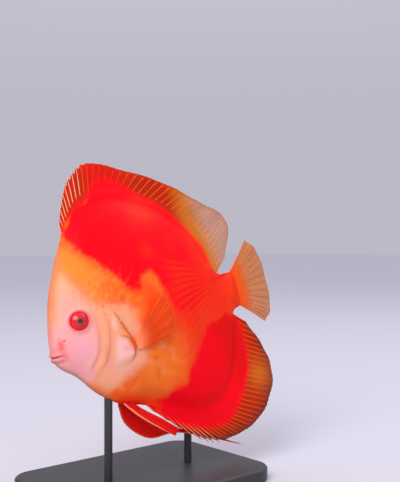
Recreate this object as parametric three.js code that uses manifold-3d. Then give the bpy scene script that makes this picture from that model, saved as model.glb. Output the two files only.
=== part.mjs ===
// A still, life-size discus fish held by a plain display stand. Millimetres, +Z up.
// The origin is the centre of the stand base's underside, and the fish swims towards -X.
// Inside the fish group +X runs from the mouth tip to the tail, +Z up to the dorsal fin
// and +Y out of the right flank. The group then tilts it nose down and banks it.
import * as THREE from 'three';
import { mergeVertices } from 'three/addons/utils/BufferGeometryUtils.js';
import Module from 'manifold-3d';

const wasm = await Module();
wasm.setup();
const { Manifold, Mesh: ManifoldMesh } = wasm;

// Driving dimensions
const MOUTH_TIP = { x: -60, y: -1, z: 76.5 };
const JOINT_GAP = 0.3;
const NOSE_DOWN = THREE.MathUtils.degToRad(12.19);
const BANK = THREE.MathUtils.degToRad(10.44);
const MAX_HALF_WIDTH = 15;
const SKIN_EDGE = 0.4;
const FIN_ROOT_HALF = 1.2;
const MEMBRANE_HALF = 0.26;
const RAY_HALF = 0.6;
const EYE_RADIUS = 5.2;
const EYE_DEPTH = 3.4;
const EYE_SINK = 1.6;
const STAND = { length: 124, width: 84, thickness: 8, corner: 12, bevel: 1, rod: 2.2 };

// Outline of the fleshy body in the middle plane, as (x, z), from the mouth over the back
const SNOUT = [[0.8, -1], [1.8, 5], [3, 11], [5.4, 20], [9, 30], [14.4, 40], [20, 49.5]];
const DORSAL_BASE = [
  [25, 57], [30, 64], [36.4, 69], [44, 71.7], [52, 73.4], [62, 73.5], [72, 70],
  [82, 65.5], [92, 59], [100, 51], [107, 42], [112, 32], [116, 22], [120, 14.5],
];
const TAIL_END = [[126, 12], [132, 12.5], [132.5, 2], [132, -8.5], [128.5, -9]];
const ANAL_BASE = [
  [124, -12], [119.5, -23], [116, -33], [111.5, -44], [105, -53], [96, -59],
  [86, -60.5], [76, -58.5], [65.5, -53.2], [55.5, -46.8], [46, -41.5],
];
const BELLY = [
  [39, -38.8], [32, -36], [25, -30.7], [19, -24.8], [14.5, -18.5], [10.5, -13.6], [5, -8.9], [1.6, -4.6],
];
const OUTLINE = [...SNOUT, ...DORSAL_BASE, ...TAIL_END, ...ANAL_BASE, ...BELLY];
const DORSAL_START = SNOUT.length;
const ANAL_START = SNOUT.length + DORSAL_BASE.length + TAIL_END.length;

// Fin margins, one point for each point of the base that carries them
const DORSAL_MARGIN = [
  [26, 63.5], [31.5, 75.5], [39.5, 86.5], [50.5, 93.2], [62, 91.5], [75, 86], [88.5, 80],
  [101, 73], [112, 65.5], [123, 57], [132, 51.5], [138.5, 45], [139, 35], [131, 21],
];
const ANAL_MARGIN = [
  [133, -20], [139.5, -36], [141.5, -48], [140, -58.5], [134, -68], [125, -75.5],
  [113, -79.4], [101, -79.8], [88.5, -78], [73, -69.5], [50, -46.5],
];
const CAUDAL_ROOT = [[132.8, -8], [133.3, 2], [132.8, 12]];
const CAUDAL_MARGIN = [[150.5, -24], [158, -17], [161, 2], [159.5, 20], [152.5, 28]];

// Line of the gill slit, from the nape down behind the cheek to the throat
const GILL_LINE = [
  [21.5, 60], [22.8, 50], [25.5, 36], [29, 23], [34.2, 11.5], [37.5, 4], [40.6, -2.8],
  [42.2, -7.5], [41, -12.3], [37, -17], [31, -22], [24.5, -27], [19.5, -34],
];
const GILL_TOP = 16;
const TAIL_CUT = 118;

// Small helpers
const lerp = THREE.MathUtils.lerp;
const smooth = THREE.MathUtils.smoothstep;
const bump = (distance, width) => Math.exp(-((distance / width) ** 2));

function curveThrough(points, closed = false) {
  const vectors = points.map(([x, z]) => new THREE.Vector3(x, 0, z));
  return new THREE.CatmullRomCurve3(vectors, closed, 'catmullrom', 0.5);
}

function solidFrom(geometry) {
  const bare = new THREE.BufferGeometry();
  bare.setAttribute('position', geometry.getAttribute('position').clone());
  if (geometry.index) bare.setIndex(geometry.index.clone());
  const merged = mergeVertices(bare, 1e-4);
  return new Manifold(new ManifoldMesh({
    numProp: 3,
    vertProperties: new Float32Array(merged.getAttribute('position').array),
    triVerts: new Uint32Array(merged.index.array),
  }));
}

function meshData(positions, triangles) {
  const geometry = new THREE.BufferGeometry();
  geometry.setAttribute('position', new THREE.Float32BufferAttribute(positions, 3));
  geometry.setIndex(triangles);
  return geometry;
}

// The largest closed surface of a solid, as a geometry
function geometryFrom(solid) {
  const pieces = solid.decompose().sort((a, b) => b.volume() - a.volume());
  const mesh = pieces[0].getMesh();
  const geometry = new THREE.BufferGeometry();
  geometry.setAttribute('position', new THREE.BufferAttribute(mesh.vertProperties, 3));
  geometry.setIndex(new THREE.BufferAttribute(mesh.triVerts, 1));
  return geometry;
}

// Reach of a closed loop from a centre, as a function of the angle in the middle plane
function reachFrom(centre, loop) {
  const samples = loop.map(([x, z]) => ({
    angle: Math.atan2(z - centre.z, x - centre.x),
    reach: Math.hypot(x - centre.x, z - centre.z),
  }));
  samples.sort((a, b) => a.angle - b.angle);
  const first = samples[0];
  const last = samples[samples.length - 1];
  samples.unshift({ angle: last.angle - 2 * Math.PI, reach: last.reach });
  samples.push({ angle: first.angle + 2 * Math.PI, reach: first.reach });
  return (angle) => {
    const wrapped = Math.atan2(Math.sin(angle), Math.cos(angle));
    const next = samples.findIndex((sample) => sample.angle > wrapped);
    const a = samples[next - 1];
    const b = samples[next];
    return lerp(a.reach, b.reach, (wrapped - a.angle) / (b.angle - a.angle));
  };
}

const outlineCurve = curveThrough(OUTLINE, true);
const bodyLoop = outlineCurve.getPoints(900).slice(0, -1).map((point) => [point.x, point.z]);

// Half width of the body over the middle plane: HALF_WIDTHS gives the thickest level at
// each x, and every upright section narrows from it to the back and the belly.
const HALF_WIDTHS = [
  [0.6, 0.5], [2, 2.9], [5, 5.2], [10, 7.8], [16, 9.8], [24, 12], [34, 14], [48, MAX_HALF_WIDTH],
  [62, 14.4], [76, 12.4], [90, 9.6], [102, 7.2], [112, 5.4], [122, 3.9], [134, 2.6],
];
const outlineStep = 0.5;
const backLine = heightTable(bodyLoop.slice(0, bodyLoop.length / 2), Math.max);
const bellyLine = heightTable(bodyLoop, Math.min);

// Highest or lowest z of the outline at every step of x
function heightTable(loop, pick) {
  const table = [];
  for (let i = 0; i < loop.length - 1; i += 1) {
    const [ax, az] = loop[i];
    const [bx, bz] = loop[i + 1];
    const from = Math.ceil(Math.min(ax, bx) / outlineStep);
    const to = Math.floor(Math.max(ax, bx) / outlineStep);
    for (let k = from; k <= to; k += 1) {
      const z = ax === bx ? az : lerp(az, bz, (k * outlineStep - ax) / (bx - ax));
      table[k] = table[k] === undefined ? z : pick(table[k], z);
    }
  }
  const first = Math.min(...Object.keys(table).map(Number));
  return (x) => {
    const place = THREE.MathUtils.clamp(x / outlineStep, first, table.length - 1);
    const low = Math.floor(place);
    const high = Math.min(low + 1, table.length - 1);
    return lerp(table[low], table[high], place - low);
  };
}

function thickestAt(x) {
  const next = HALF_WIDTHS.findIndex(([px]) => px > x);
  if (next === 0) return HALF_WIDTHS[0][1];
  if (next < 0) return HALF_WIDTHS[HALF_WIDTHS.length - 1][1];
  const [ax, a] = HALF_WIDTHS[next - 1];
  const [bx, b] = HALF_WIDTHS[next];
  const before = HALF_WIDTHS[Math.max(next - 2, 0)];
  const after = HALF_WIDTHS[Math.min(next + 1, HALF_WIDTHS.length - 1)];
  const t = (x - ax) / (bx - ax);
  const slopeA = ((b - before[1]) / (bx - before[0])) * (bx - ax);
  const slopeB = ((after[1] - a) / (after[0] - ax)) * (bx - ax);
  const hermite = (2 * t ** 3 - 3 * t ** 2 + 1) * a + (t ** 3 - 2 * t ** 2 + t) * slopeA;
  return hermite + (3 * t ** 2 - 2 * t ** 3) * b + (t ** 3 - t ** 2) * slopeB;
}

// The back carries the dorsal fin behind the nape and the belly the anal fin behind the vent
function finShare(x, z) {
  return lerp(smooth(x, 38, 52), smooth(x, 18, 30), smooth(z, -16, 20));
}

function bodyHalfWidth(x, z) {
  const top = backLine(x);
  const bottom = bellyLine(x);
  const level = Math.min(Math.abs((2 * z - top - bottom) / (top - bottom)), 1);
  const fin = finShare(x, z);
  const edge = lerp(SKIN_EDGE, FIN_ROOT_HALF, fin);
  const power = lerp(0.6, 0.86, fin);
  return edge + (thickestAt(x) - SKIN_EDGE) * (1 - level ** 2) ** power;
}

const gillLine = curveThrough(GILL_LINE).getPoints(66).map((point) => [point.x, point.z]);

function gillDistance(x, z) {
  return Math.min(...gillLine.map(([gx, gz]) => Math.hypot(x - gx, z - gz)));
}

// The gill cover stands out of the head and fades upwards
const GILL_COVER = { lift: 0.8, width: 6, dip: 0.4, dipWidth: 3, fade: 8 };

function lowOnGill(z) {
  return 1 - smooth(z, GILL_TOP - GILL_COVER.fade, GILL_TOP);
}

// The trunk dips a little where the gill cover closes over it
function trunkHalfWidth(x, z) {
  const dip = GILL_COVER.dip * lowOnGill(z) * bump(gillDistance(x, z), GILL_COVER.dipWidth);
  return bodyHalfWidth(x, z) - dip;
}

// The head carries a raised gill cover, a cheek plate edge and a rim round each eye
const EYE = { x: 16.2, z: 13 };
const EYE_RIM = { lift: 0.5, gap: 0.8, width: 1.3 };
const CHEEK_EDGE = { x: 12, z: 2, radius: 14.5, lift: 0.45, width: 1.6 };

function headHalfWidth(x, z) {
  const inside = smooth(bodyHalfWidth(x, z), 1, 5);
  const cover = GILL_COVER.lift * lowOnGill(z) * bump(gillDistance(x, z), GILL_COVER.width);
  const cheekGap = Math.hypot(x - CHEEK_EDGE.x, z - CHEEK_EDGE.z) - CHEEK_EDGE.radius;
  const cheekPlace = smooth(x, 14, 20) * (1 - smooth(z, 6, 12));
  const cheek = CHEEK_EDGE.lift * cheekPlace * bump(cheekGap, CHEEK_EDGE.width);
  const rimGap = Math.hypot(x - EYE.x, z - EYE.z) - EYE_RADIUS - EYE_RIM.gap;
  return bodyHalfWidth(x, z) + inside * (cover + cheek) + EYE_RIM.lift * bump(rimGap, EYE_RIM.width);
}

// A closed lens over a loop in the middle plane, the same on both flanks
function lensGeometry({ centre, loop, halfWidth, sectors, rings }) {
  const reach = reachFrom(centre, loop);
  const positions = [];
  const triangles = [];
  const sideStart = (side) => (side < 0 ? 0 : 1 + rings * sectors);
  for (const side of [-1, 1]) {
    positions.push(centre.x, side * halfWidth(centre.x, centre.z), centre.z);
    for (let ring = 1; ring <= rings; ring += 1) {
      const share = Math.sin((Math.PI / 2) * (ring / rings));
      for (let sector = 0; sector < sectors; sector += 1) {
        const angle = (2 * Math.PI * sector) / sectors;
        const x = centre.x + share * reach(angle) * Math.cos(angle);
        const z = centre.z + share * reach(angle) * Math.sin(angle);
        positions.push(x, side * halfWidth(x, z), z);
      }
    }
  }
  const vertex = (side, ring, sector) => sideStart(side) + 1 + (ring - 1) * sectors + (sector % sectors);
  const face = (side, a, b, c) => triangles.push(...(side < 0 ? [a, b, c] : [a, c, b]));
  for (const side of [-1, 1]) {
    for (let sector = 0; sector < sectors; sector += 1) {
      face(side, sideStart(side), vertex(side, 1, sector), vertex(side, 1, sector + 1));
      for (let ring = 1; ring < rings; ring += 1) {
        const inner = vertex(side, ring, sector);
        const innerNext = vertex(side, ring, sector + 1);
        const outer = vertex(side, ring + 1, sector);
        const outerNext = vertex(side, ring + 1, sector + 1);
        face(side, inner, outer, outerNext);
        face(side, inner, outerNext, innerNext);
      }
    }
  }
  for (let sector = 0; sector < sectors; sector += 1) {
    const left = vertex(-1, rings, sector);
    const leftNext = vertex(-1, rings, sector + 1);
    const right = vertex(1, rings, sector);
    const rightNext = vertex(1, rings, sector + 1);
    triangles.push(left, right, rightNext, left, rightNext, leftNext);
  }
  return meshData(positions, triangles);
}

// A slab through the whole body whose side is a closed loop in the middle plane
function slabThrough(loop) {
  const half = 60;
  const shape = new THREE.Shape(loop.map(([x, z]) => new THREE.Vector2(x, z)));
  const geometry = new THREE.ExtrudeGeometry(shape, { depth: 2 * half, bevelEnabled: false });
  geometry.rotateX(Math.PI / 2);
  geometry.translate(0, half, 0);
  return solidFrom(geometry);
}

function offsetLine(line, distance) {
  return line.map(([x, z], i) => {
    const [ax, az] = line[Math.max(i - 1, 0)];
    const [bx, bz] = line[Math.min(i + 1, line.length - 1)];
    const length = Math.hypot(bx - ax, bz - az);
    return [x - (distance * (bz - az)) / length, z + (distance * (bx - ax)) / length];
  });
}

// A closed tube whose radius changes along its curve
function taperedTube(curve, radiusAt, steps, sides) {
  const frames = curve.computeFrenetFrames(steps, false);
  const positions = [];
  const triangles = [];
  for (let step = 0; step <= steps; step += 1) {
    const centre = curve.getPointAt(step / steps);
    const radius = radiusAt(step / steps);
    for (let side = 0; side < sides; side += 1) {
      const angle = (2 * Math.PI * side) / sides;
      const point = centre.clone()
        .addScaledVector(frames.normals[step], radius * Math.cos(angle))
        .addScaledVector(frames.binormals[step], radius * Math.sin(angle));
      positions.push(point.x, point.y, point.z);
    }
  }
  const at = (step, side) => step * sides + (side % sides);
  for (let side = 0; side < sides; side += 1) {
    for (let step = 0; step < steps; step += 1) {
      triangles.push(at(step, side), at(step, side + 1), at(step + 1, side + 1));
      triangles.push(at(step, side), at(step + 1, side + 1), at(step + 1, side));
    }
  }
  for (let side = 1; side < sides - 1; side += 1) {
    triangles.push(at(0, 0), at(0, side + 1), at(0, side));
    triangles.push(at(steps, 0), at(steps, side), at(steps, side + 1));
  }
  return solidFrom(meshData(positions, triangles));
}

function ellipsoid({ centre, normal, across, deep, segments = 18, rows = 10 }) {
  const geometry = new THREE.SphereGeometry(1, segments, rows);
  geometry.scale(across, deep, across);
  const turn = new THREE.Quaternion().setFromUnitVectors(new THREE.Vector3(0, 1, 0), normal);
  geometry.applyQuaternion(turn);
  geometry.translate(centre.x, centre.y, centre.z);
  return solidFrom(geometry);
}

// A point on a flank, sunk below the skin, with the outward normal there
function onFlank(side, x, z, halfWidth, sink) {
  const step = 1;
  const slopeX = (halfWidth(x + step, z) - halfWidth(x - step, z)) / (2 * step);
  const slopeZ = (halfWidth(x, z + step) - halfWidth(x, z - step)) / (2 * step);
  const normal = new THREE.Vector3(-slopeX, side, -slopeZ).normalize();
  const centre = new THREE.Vector3(x, side * halfWidth(x, z), z).addScaledVector(normal, -sink);
  return { centre, normal };
}

function eyeball(side, growth, segments, rows) {
  const seat = onFlank(side, EYE.x, EYE.z, bodyHalfWidth, EYE_SINK);
  return ellipsoid({ ...seat, across: EYE_RADIUS + growth, deep: EYE_DEPTH + growth, segments, rows });
}

// Lips, mouth line and nostrils
const UPPER_LIP = { front: [0.7, 0.3], side: [3, 2.7, 0.1], corner: [6.6, 4.6, -1.1], radius: 1.9 };
const LOWER_LIP = { front: [1.6, -2.9], side: [3.8, 2.6, -2.8], corner: [6.8, 4.4, -2.1], radius: 1.7 };
const MOUTH = { x: 0.2, z: -1.3, across: 7, half: 0.25 };
const NOSTRIL = { x: 7, z: 5.4, radius: 0.8 };

function lip({ front, side, corner, radius }) {
  const route = [
    new THREE.Vector3(corner[0], -corner[1], corner[2]),
    new THREE.Vector3(side[0], -side[1], side[2]),
    new THREE.Vector3(front[0], 0, front[1]),
    new THREE.Vector3(side[0], side[1], side[2]),
    new THREE.Vector3(corner[0], corner[1], corner[2]),
  ];
  const curve = new THREE.CatmullRomCurve3(route, false, 'centripetal');
  return taperedTube(curve, (t) => radius * (0.45 + 0.55 * Math.sin(Math.PI * t)), 14, 8);
}

function mouthCut() {
  const slit = new THREE.SphereGeometry(1, 20, 8);
  slit.scale(MOUTH.across, MOUTH.across * 0.8, MOUTH.half);
  slit.rotateY(0.1);
  slit.translate(MOUTH.x, 0, MOUTH.z);
  return solidFrom(slit);
}

// The body's loop, cut off by an upright wall and seen from a centre on the wall's other side
function loopUpTo(centre, wall) {
  return bodyLoop.map(([x, z]) => {
    if ((x - wall) * (centre.x - wall) > 0) return [x, z];
    const pull = (wall - centre.x) / (x - centre.x);
    return [wall, centre.z + (z - centre.z) * pull];
  });
}

function makeHead() {
  const centre = { x: 20, z: 6 };
  const loop = loopUpTo(centre, 43);
  let head = solidFrom(lensGeometry({ centre, loop, halfWidth: headHalfWidth, sectors: 62, rings: 12 }));
  const front = [...gillLine, [-20, -33], [-20, 60]];
  head = head.intersect(slabThrough(front));
  head = head.add(lip(UPPER_LIP)).add(lip(LOWER_LIP)).subtract(mouthCut());
  for (const side of [-1, 1]) {
    const nostril = onFlank(side, NOSTRIL.x, NOSTRIL.z, headHalfWidth, 0.1);
    head = head.subtract(eyeball(side, JOINT_GAP, 20, 12));
    head = head.subtract(ellipsoid({ ...nostril, across: NOSTRIL.radius, deep: 1, segments: 8, rows: 6 }));
  }
  return geometryFrom(head);
}

function bodyLens(centre, wall, sectors, rings) {
  const loop = loopUpTo(centre, wall);
  return solidFrom(lensGeometry({ centre, loop, halfWidth: trunkHalfWidth, sectors, rings }));
}

function makeTrunk() {
  const rear = [...offsetLine(gillLine, JOINT_GAP), [TAIL_CUT, -90], [TAIL_CUT, 90], [21.5, 90]];
  return geometryFrom(bodyLens({ x: 62, z: 2 }, TAIL_CUT + 2, 76, 9).intersect(slabThrough(rear)));
}

function makeTailStem() {
  const start = TAIL_CUT + JOINT_GAP;
  const rear = [[start, -90], [140, -90], [140, 90], [start, 90]];
  return geometryFrom(bodyLens({ x: 125, z: 2 }, TAIL_CUT - 2, 40, 5).intersect(slabThrough(rear)));
}

// A fin as one closed sheet whose rays stand out of both faces.
// place(u, v) gives its middle surface, u across the rays and v along them.
function finGeometry({ place, rays, perGap = 2, rows, half }) {
  const columns = (rays - 1) * perGap;
  const step = 1e-3;
  const positions = [];
  const triangles = [];
  for (const face of [1, -1]) {
    for (let row = 0; row <= rows; row += 1) {
      const v = row / rows;
      for (let column = 0; column <= columns; column += 1) {
        const u = column / columns;
        const ridge = Math.abs(Math.cos((Math.PI * column) / perGap));
        const point = place(u, v, ridge);
        const across = place(Math.min(u + step, 1), v, ridge).sub(place(Math.max(u - step, 0), v, ridge));
        const along = place(u, Math.min(v + step, 1), ridge).sub(place(u, Math.max(v - step, 0), ridge));
        const normal = across.cross(along).normalize();
        point.addScaledVector(normal, face * half(u, v, ridge));
        positions.push(point.x, point.y, point.z);
      }
    }
  }
  const width = columns + 1;
  const back = width * (rows + 1);
  const quad = (a, b, c, d) => triangles.push(a, b, c, a, c, d);
  for (let row = 0; row < rows; row += 1) {
    for (let column = 0; column < columns; column += 1) {
      const a = row * width + column;
      quad(a, a + 1, a + width + 1, a + width);
      triangles.push(back + a, back + a + width + 1, back + a + 1);
      triangles.push(back + a, back + a + width, back + a + width + 1);
    }
    const first = row * width;
    const last = first + columns;
    quad(first, first + width, back + first + width, back + first);
    quad(last, back + last, back + last + width, last + width);
  }
  for (let column = 0; column < columns; column += 1) {
    const tip = rows * width + column;
    quad(column, back + column, back + column + 1, column + 1);
    quad(tip, tip + 1, back + tip + 1, back + tip);
  }
  return meshData(positions, triangles);
}

// Half thickness that runs from a thick root to a thin membrane with raised rays
function rayedHalf({ root, ray = RAY_HALF, membrane = MEMBRANE_HALF, fade = 0.4 }) {
  return (u, v, ridge) => {
    const along = smooth(v, 0, fade);
    const top = lerp(root, lerp(ray, membrane, v), along);
    const low = lerp(root, membrane, along);
    return lerp(low, top, ridge);
  };
}

// A fin that grows out of the body's outline: start is the outline point of its first station
function medianFin({ start, margin, spines, spinesFirst, freeTip, sway }) {
  const stations = margin.length - 1;
  const marginCurve = curveThrough(margin);
  return (u, v, ridge) => {
    const at = (start + u * stations) / OUTLINE.length;
    const root = outlineCurve.getPoint(at);
    const tangent = outlineCurve.getTangent(at);
    const outward = new THREE.Vector3(-tangent.z, 0, tangent.x).normalize();
    root.addScaledVector(outward, JOINT_GAP + 0.04);
    const tip = marginCurve.getPoint(u);
    const fromSpine = spinesFirst ? u : 1 - u;
    const free = freeTip * (1 - smooth(fromSpine, spines * 0.8, spines * 1.2)) + 0.012;
    const reach = v * (1 + free * (ridge - 0.5) * 2 * v);
    const point = root.lerp(tip, reach);
    point.y += sway * Math.sin(2.2 * Math.PI * u) * v * v;
    return point;
  };
}

const dorsalPlace = medianFin({
  start: DORSAL_START, margin: DORSAL_MARGIN, spines: 9 / 40, spinesFirst: true, freeTip: 0.07, sway: 1.6,
});
const analPlace = medianFin({
  start: ANAL_START, margin: ANAL_MARGIN, spines: 8 / 37, spinesFirst: false, freeTip: 0.06, sway: -1.4,
});

const TAIL_SWAY = 2.2;
const TAIL_LOBES = 0.012;

function caudalPlace(u, v, ridge) {
  const root = curveThrough(CAUDAL_ROOT).getPoint(u);
  const tip = curveThrough(CAUDAL_MARGIN).getPoint(u);
  const point = root.lerp(tip, v * (1 + TAIL_LOBES * (ridge - 0.5) * v));
  point.y += TAIL_SWAY * v * v;
  return point;
}

// Paired fins: a leading and a trailing edge in space, mirrored for the other flank
function pairedFin(side, leading, trailing) {
  const lead = new THREE.CatmullRomCurve3(leading.map(([x, y, z]) => new THREE.Vector3(x, side * y, z)));
  const trail = new THREE.CatmullRomCurve3(trailing.map(([x, y, z]) => new THREE.Vector3(x, side * y, z)));
  return (u, v) => lead.getPoint(v).lerp(trail.getPoint(v), u);
}

// Pectoral fins fan out from just behind the gill cover
const PECTORAL = {
  root: [43.4, 13.2, -7.6], height: 6, rays: 12, top: 0.86, spread: 0.95, length: 28.5, shorter: 10,
  reach: 0.95, lean: 0.34, curl: 0.1, billow: 1.2, lobes: 0.02,
};

function pectoralPlace(side) {
  const { root, height, top, spread, length, shorter, reach: forward, lean, curl, billow, lobes } = PECTORAL;
  return (u, v, ridge) => {
    const angle = top - spread * u;
    const reach = length - shorter * u ** 1.6;
    const along = v * reach * (1 + lobes * (ridge - 0.5) * v);
    const x = root[0] + along * Math.cos(angle) * forward;
    const y = root[1] + along * (lean - curl * v) + billow * Math.sin(Math.PI * u) * v;
    const z = root[2] + height * (0.5 - u) * (1 - v) + along * Math.sin(angle);
    return new THREE.Vector3(x, side * y, z);
  };
}

// Pelvic fins: a strong leading spine, five rays and, on the right, a long filament
const PELVIC_LEFT = {
  leading: [[32.3, 2.4, -35.5], [38.5, 4.5, -45], [46.5, 6.5, -54], [54.3, 8, -61.7]],
  trailing: [[37.5, 2.2, -37.6], [43.5, 3.6, -44], [51.5, 5, -51.5], [59.5, 6.2, -60]],
};
const PELVIC_RIGHT = {
  leading: [[32.3, 2.4, -35.5], [34.5, 4, -48], [46.5, 4.6, -60], [67.5, 4.3, -65], [104.7, 4.5, -86]],
  trailing: [[37.5, 2.2, -37.6], [44.5, 3.4, -46], [56, 4.2, -57], [73, 4.3, -66], [105.7, 4.5, -86.4]],
};

const bodyClearance = lensGeometry({
  centre: { x: 45, z: 0 },
  loop: offsetLine([...bodyLoop, bodyLoop[0]], JOINT_GAP).slice(0, -1),
  halfWidth: (x, z) => bodyHalfWidth(x, z) + JOINT_GAP,
  sectors: 120,
  rings: 16,
});

function clearOfBody(geometry) {
  return geometryFrom(solidFrom(geometry).subtract(solidFrom(bodyClearance)));
}

function pectoralFin(side) {
  const half = rayedHalf({ root: 1, ray: 0.45, fade: 0.25 });
  return clearOfBody(finGeometry({ place: pectoralPlace(side), rays: PECTORAL.rays, rows: 6, half }));
}

function pelvicFin(side, edges, rows) {
  const half = rayedHalf({ root: 1.1, ray: 0.7, membrane: 0.3, fade: 0.3 });
  const place = pairedFin(side, edges.leading, edges.trailing);
  return clearOfBody(finGeometry({ place, rays: 6, rows, half }));
}

// Materials
function finish(color, roughness = 0.45) {
  return new THREE.MeshStandardMaterial({ color, roughness, metalness: 0 });
}
const facePeach = finish('#f0a890');
const flankOrange = finish('#ec5a1c');
const finRed = finish('#b81c08');
const paleFin = finish('#f08a3c');
const eyeRed = finish('#b0122c', 0.15);
const standBlack = finish('#26282b', 0.6);

function named(name, geometry, material) {
  const mesh = new THREE.Mesh(geometry, material);
  mesh.name = name;
  return mesh;
}

function medianFinMesh(name, place, rays, rows) {
  const half = rayedHalf({ root: FIN_ROOT_HALF });
  return named(name, finGeometry({ place, rays, rows, half }), finRed);
}

function makeFish() {
  const fish = new THREE.Group();
  fish.add(named('head', makeHead(), facePeach));
  fish.add(named('trunk', makeTrunk(), flankOrange));
  fish.add(named('tail_stem', makeTailStem(), flankOrange));
  for (const [side, word] of [[-1, 'left'], [1, 'right']]) {
    fish.add(named(`eye_${word}`, geometryFrom(eyeball(side, 0, 18, 10)), eyeRed));
    fish.add(named(`pectoral_fin_${word}`, pectoralFin(side), paleFin));
  }
  fish.add(named('pelvic_fin_left', pelvicFin(-1, PELVIC_LEFT, 7), finRed));
  fish.add(named('pelvic_fin_right', pelvicFin(1, PELVIC_RIGHT, 12), finRed));
  fish.add(medianFinMesh('dorsal_fin', dorsalPlace, 40, 6));
  fish.add(medianFinMesh('anal_fin', analPlace, 37, 6));
  const caudalHalf = rayedHalf({ root: 1.5 });
  const caudal = finGeometry({ place: caudalPlace, rays: 16, rows: 5, half: caudalHalf });
  fish.add(named('caudal_fin', caudal, finRed));
  return fish;
}

// The fish hangs clear of the base, with its middle above the part's origin
function poseFish(fish) {
  fish.rotation.set(-BANK, -NOSE_DOWN, 0, 'YXZ');
  fish.position.copy(MOUTH_TIP);
  fish.updateMatrixWorld(true);
}

// Stand: a flat base and two rods cut to the body's surface
const FRONT_HOLD = new THREE.Vector3(27, 0, -27);
const REAR_HOLD = new THREE.Vector3(84, 6.5, -38);

function makeBase() {
  const { length, width, thickness, corner, bevel } = STAND;
  const x = length / 2 - bevel;
  const y = width / 2 - bevel;
  const shape = new THREE.Shape();
  shape.moveTo(-x + corner, -y);
  shape.lineTo(x - corner, -y);
  shape.absarc(x - corner, -y + corner, corner, -Math.PI / 2, 0);
  shape.absarc(x - corner, y - corner, corner, 0, Math.PI / 2);
  shape.absarc(-x + corner, y - corner, corner, Math.PI / 2, Math.PI);
  shape.absarc(-x + corner, -y + corner, corner, Math.PI, 1.5 * Math.PI);
  const geometry = new THREE.ExtrudeGeometry(shape, {
    depth: thickness - 2 * bevel, bevelThickness: bevel, bevelSize: bevel, bevelSegments: 1, curveSegments: 5,
  });
  geometry.translate(0, 0, bevel);
  return geometryFrom(solidFrom(geometry));
}

function makeRod(fish, hold) {
  const top = hold.clone().applyMatrix4(fish.matrixWorld);
  const bottom = STAND.thickness + JOINT_GAP;
  const height = top.z - bottom;
  const rod = new THREE.CylinderGeometry(STAND.rod, STAND.rod, height, 16);
  rod.rotateX(Math.PI / 2);
  rod.translate(top.x, top.y, bottom + height / 2);
  const body = bodyClearance.clone().applyMatrix4(fish.matrixWorld);
  return geometryFrom(solidFrom(rod).subtract(solidFrom(body)));
}

function buildModel() {
  const model = new THREE.Group();
  const fish = makeFish();
  poseFish(fish);
  model.add(fish);
  model.add(named('stand_base', makeBase(), standBlack));
  model.add(named('stand_rod_front', makeRod(fish, FRONT_HOLD), standBlack));
  model.add(named('stand_rod_rear', makeRod(fish, REAR_HOLD), standBlack));
  return model;
}

export default buildModel();
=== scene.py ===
"""The looks of a life-size still model of a discus fish on a plain display stand.

Lengths of the fish are in millimetres in the fish's own frame: x runs from the mouth tip
to the tail, z up to the dorsal fin and y out of the right flank. to_part() tilts them nose
down, banks them and puts them over the stand, in metres.
"""
import math

import bmesh
import bpy
import numpy as np
from mathutils import Matrix, Vector


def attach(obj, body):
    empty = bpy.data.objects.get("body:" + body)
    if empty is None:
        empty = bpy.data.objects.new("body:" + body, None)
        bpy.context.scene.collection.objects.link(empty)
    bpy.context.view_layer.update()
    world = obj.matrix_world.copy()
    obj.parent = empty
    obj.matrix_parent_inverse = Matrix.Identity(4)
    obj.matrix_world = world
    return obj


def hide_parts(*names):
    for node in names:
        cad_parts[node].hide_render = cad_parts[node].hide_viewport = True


bl_info = {
    "name": "Discus fish model",
    "version": (1, 0, 0),
    "blender": (4, 5, 0),
    "location": "3D View > Sidebar > Discus",
    "description": "Skin, eyes, fins, stand finish and studio for a still model of a discus fish",
    "category": "Object",
}

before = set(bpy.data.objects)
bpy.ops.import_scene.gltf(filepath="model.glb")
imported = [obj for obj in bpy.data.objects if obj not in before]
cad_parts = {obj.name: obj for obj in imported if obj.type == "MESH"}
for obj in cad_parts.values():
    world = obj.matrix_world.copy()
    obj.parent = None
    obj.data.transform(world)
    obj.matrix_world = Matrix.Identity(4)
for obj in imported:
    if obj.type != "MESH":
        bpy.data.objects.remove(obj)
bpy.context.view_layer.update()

# Placing of the fish over its stand
MM = 0.001
MOUTH_TIP = (-60, -1, 76.5)
NOSE_DOWN = math.radians(12.19)
BANK = math.radians(10.44)
TILT = Matrix.Rotation(-NOSE_DOWN, 3, "Y") @ Matrix.Rotation(-BANK, 3, "X")

# Camera: the photo is 400 by 482 pixels and the fish was 40 cm away
IMAGE_HEIGHT_PX = 482
FOCAL_PX = 796
SENSOR_HEIGHT = 36
CAMERA_TURN = math.radians(-41.118)
CAMERA_RIGHT = Vector((math.cos(CAMERA_TURN), math.sin(CAMERA_TURN), 0))
CAMERA_BACK = Vector((math.sin(CAMERA_TURN), -math.cos(CAMERA_TURN), 0))
CAMERA_FROM_MOUTH = {"right": 75.377, "up": 58.291, "back": 400}

SIDES = ((-1, "left"), (1, "right"))

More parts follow.
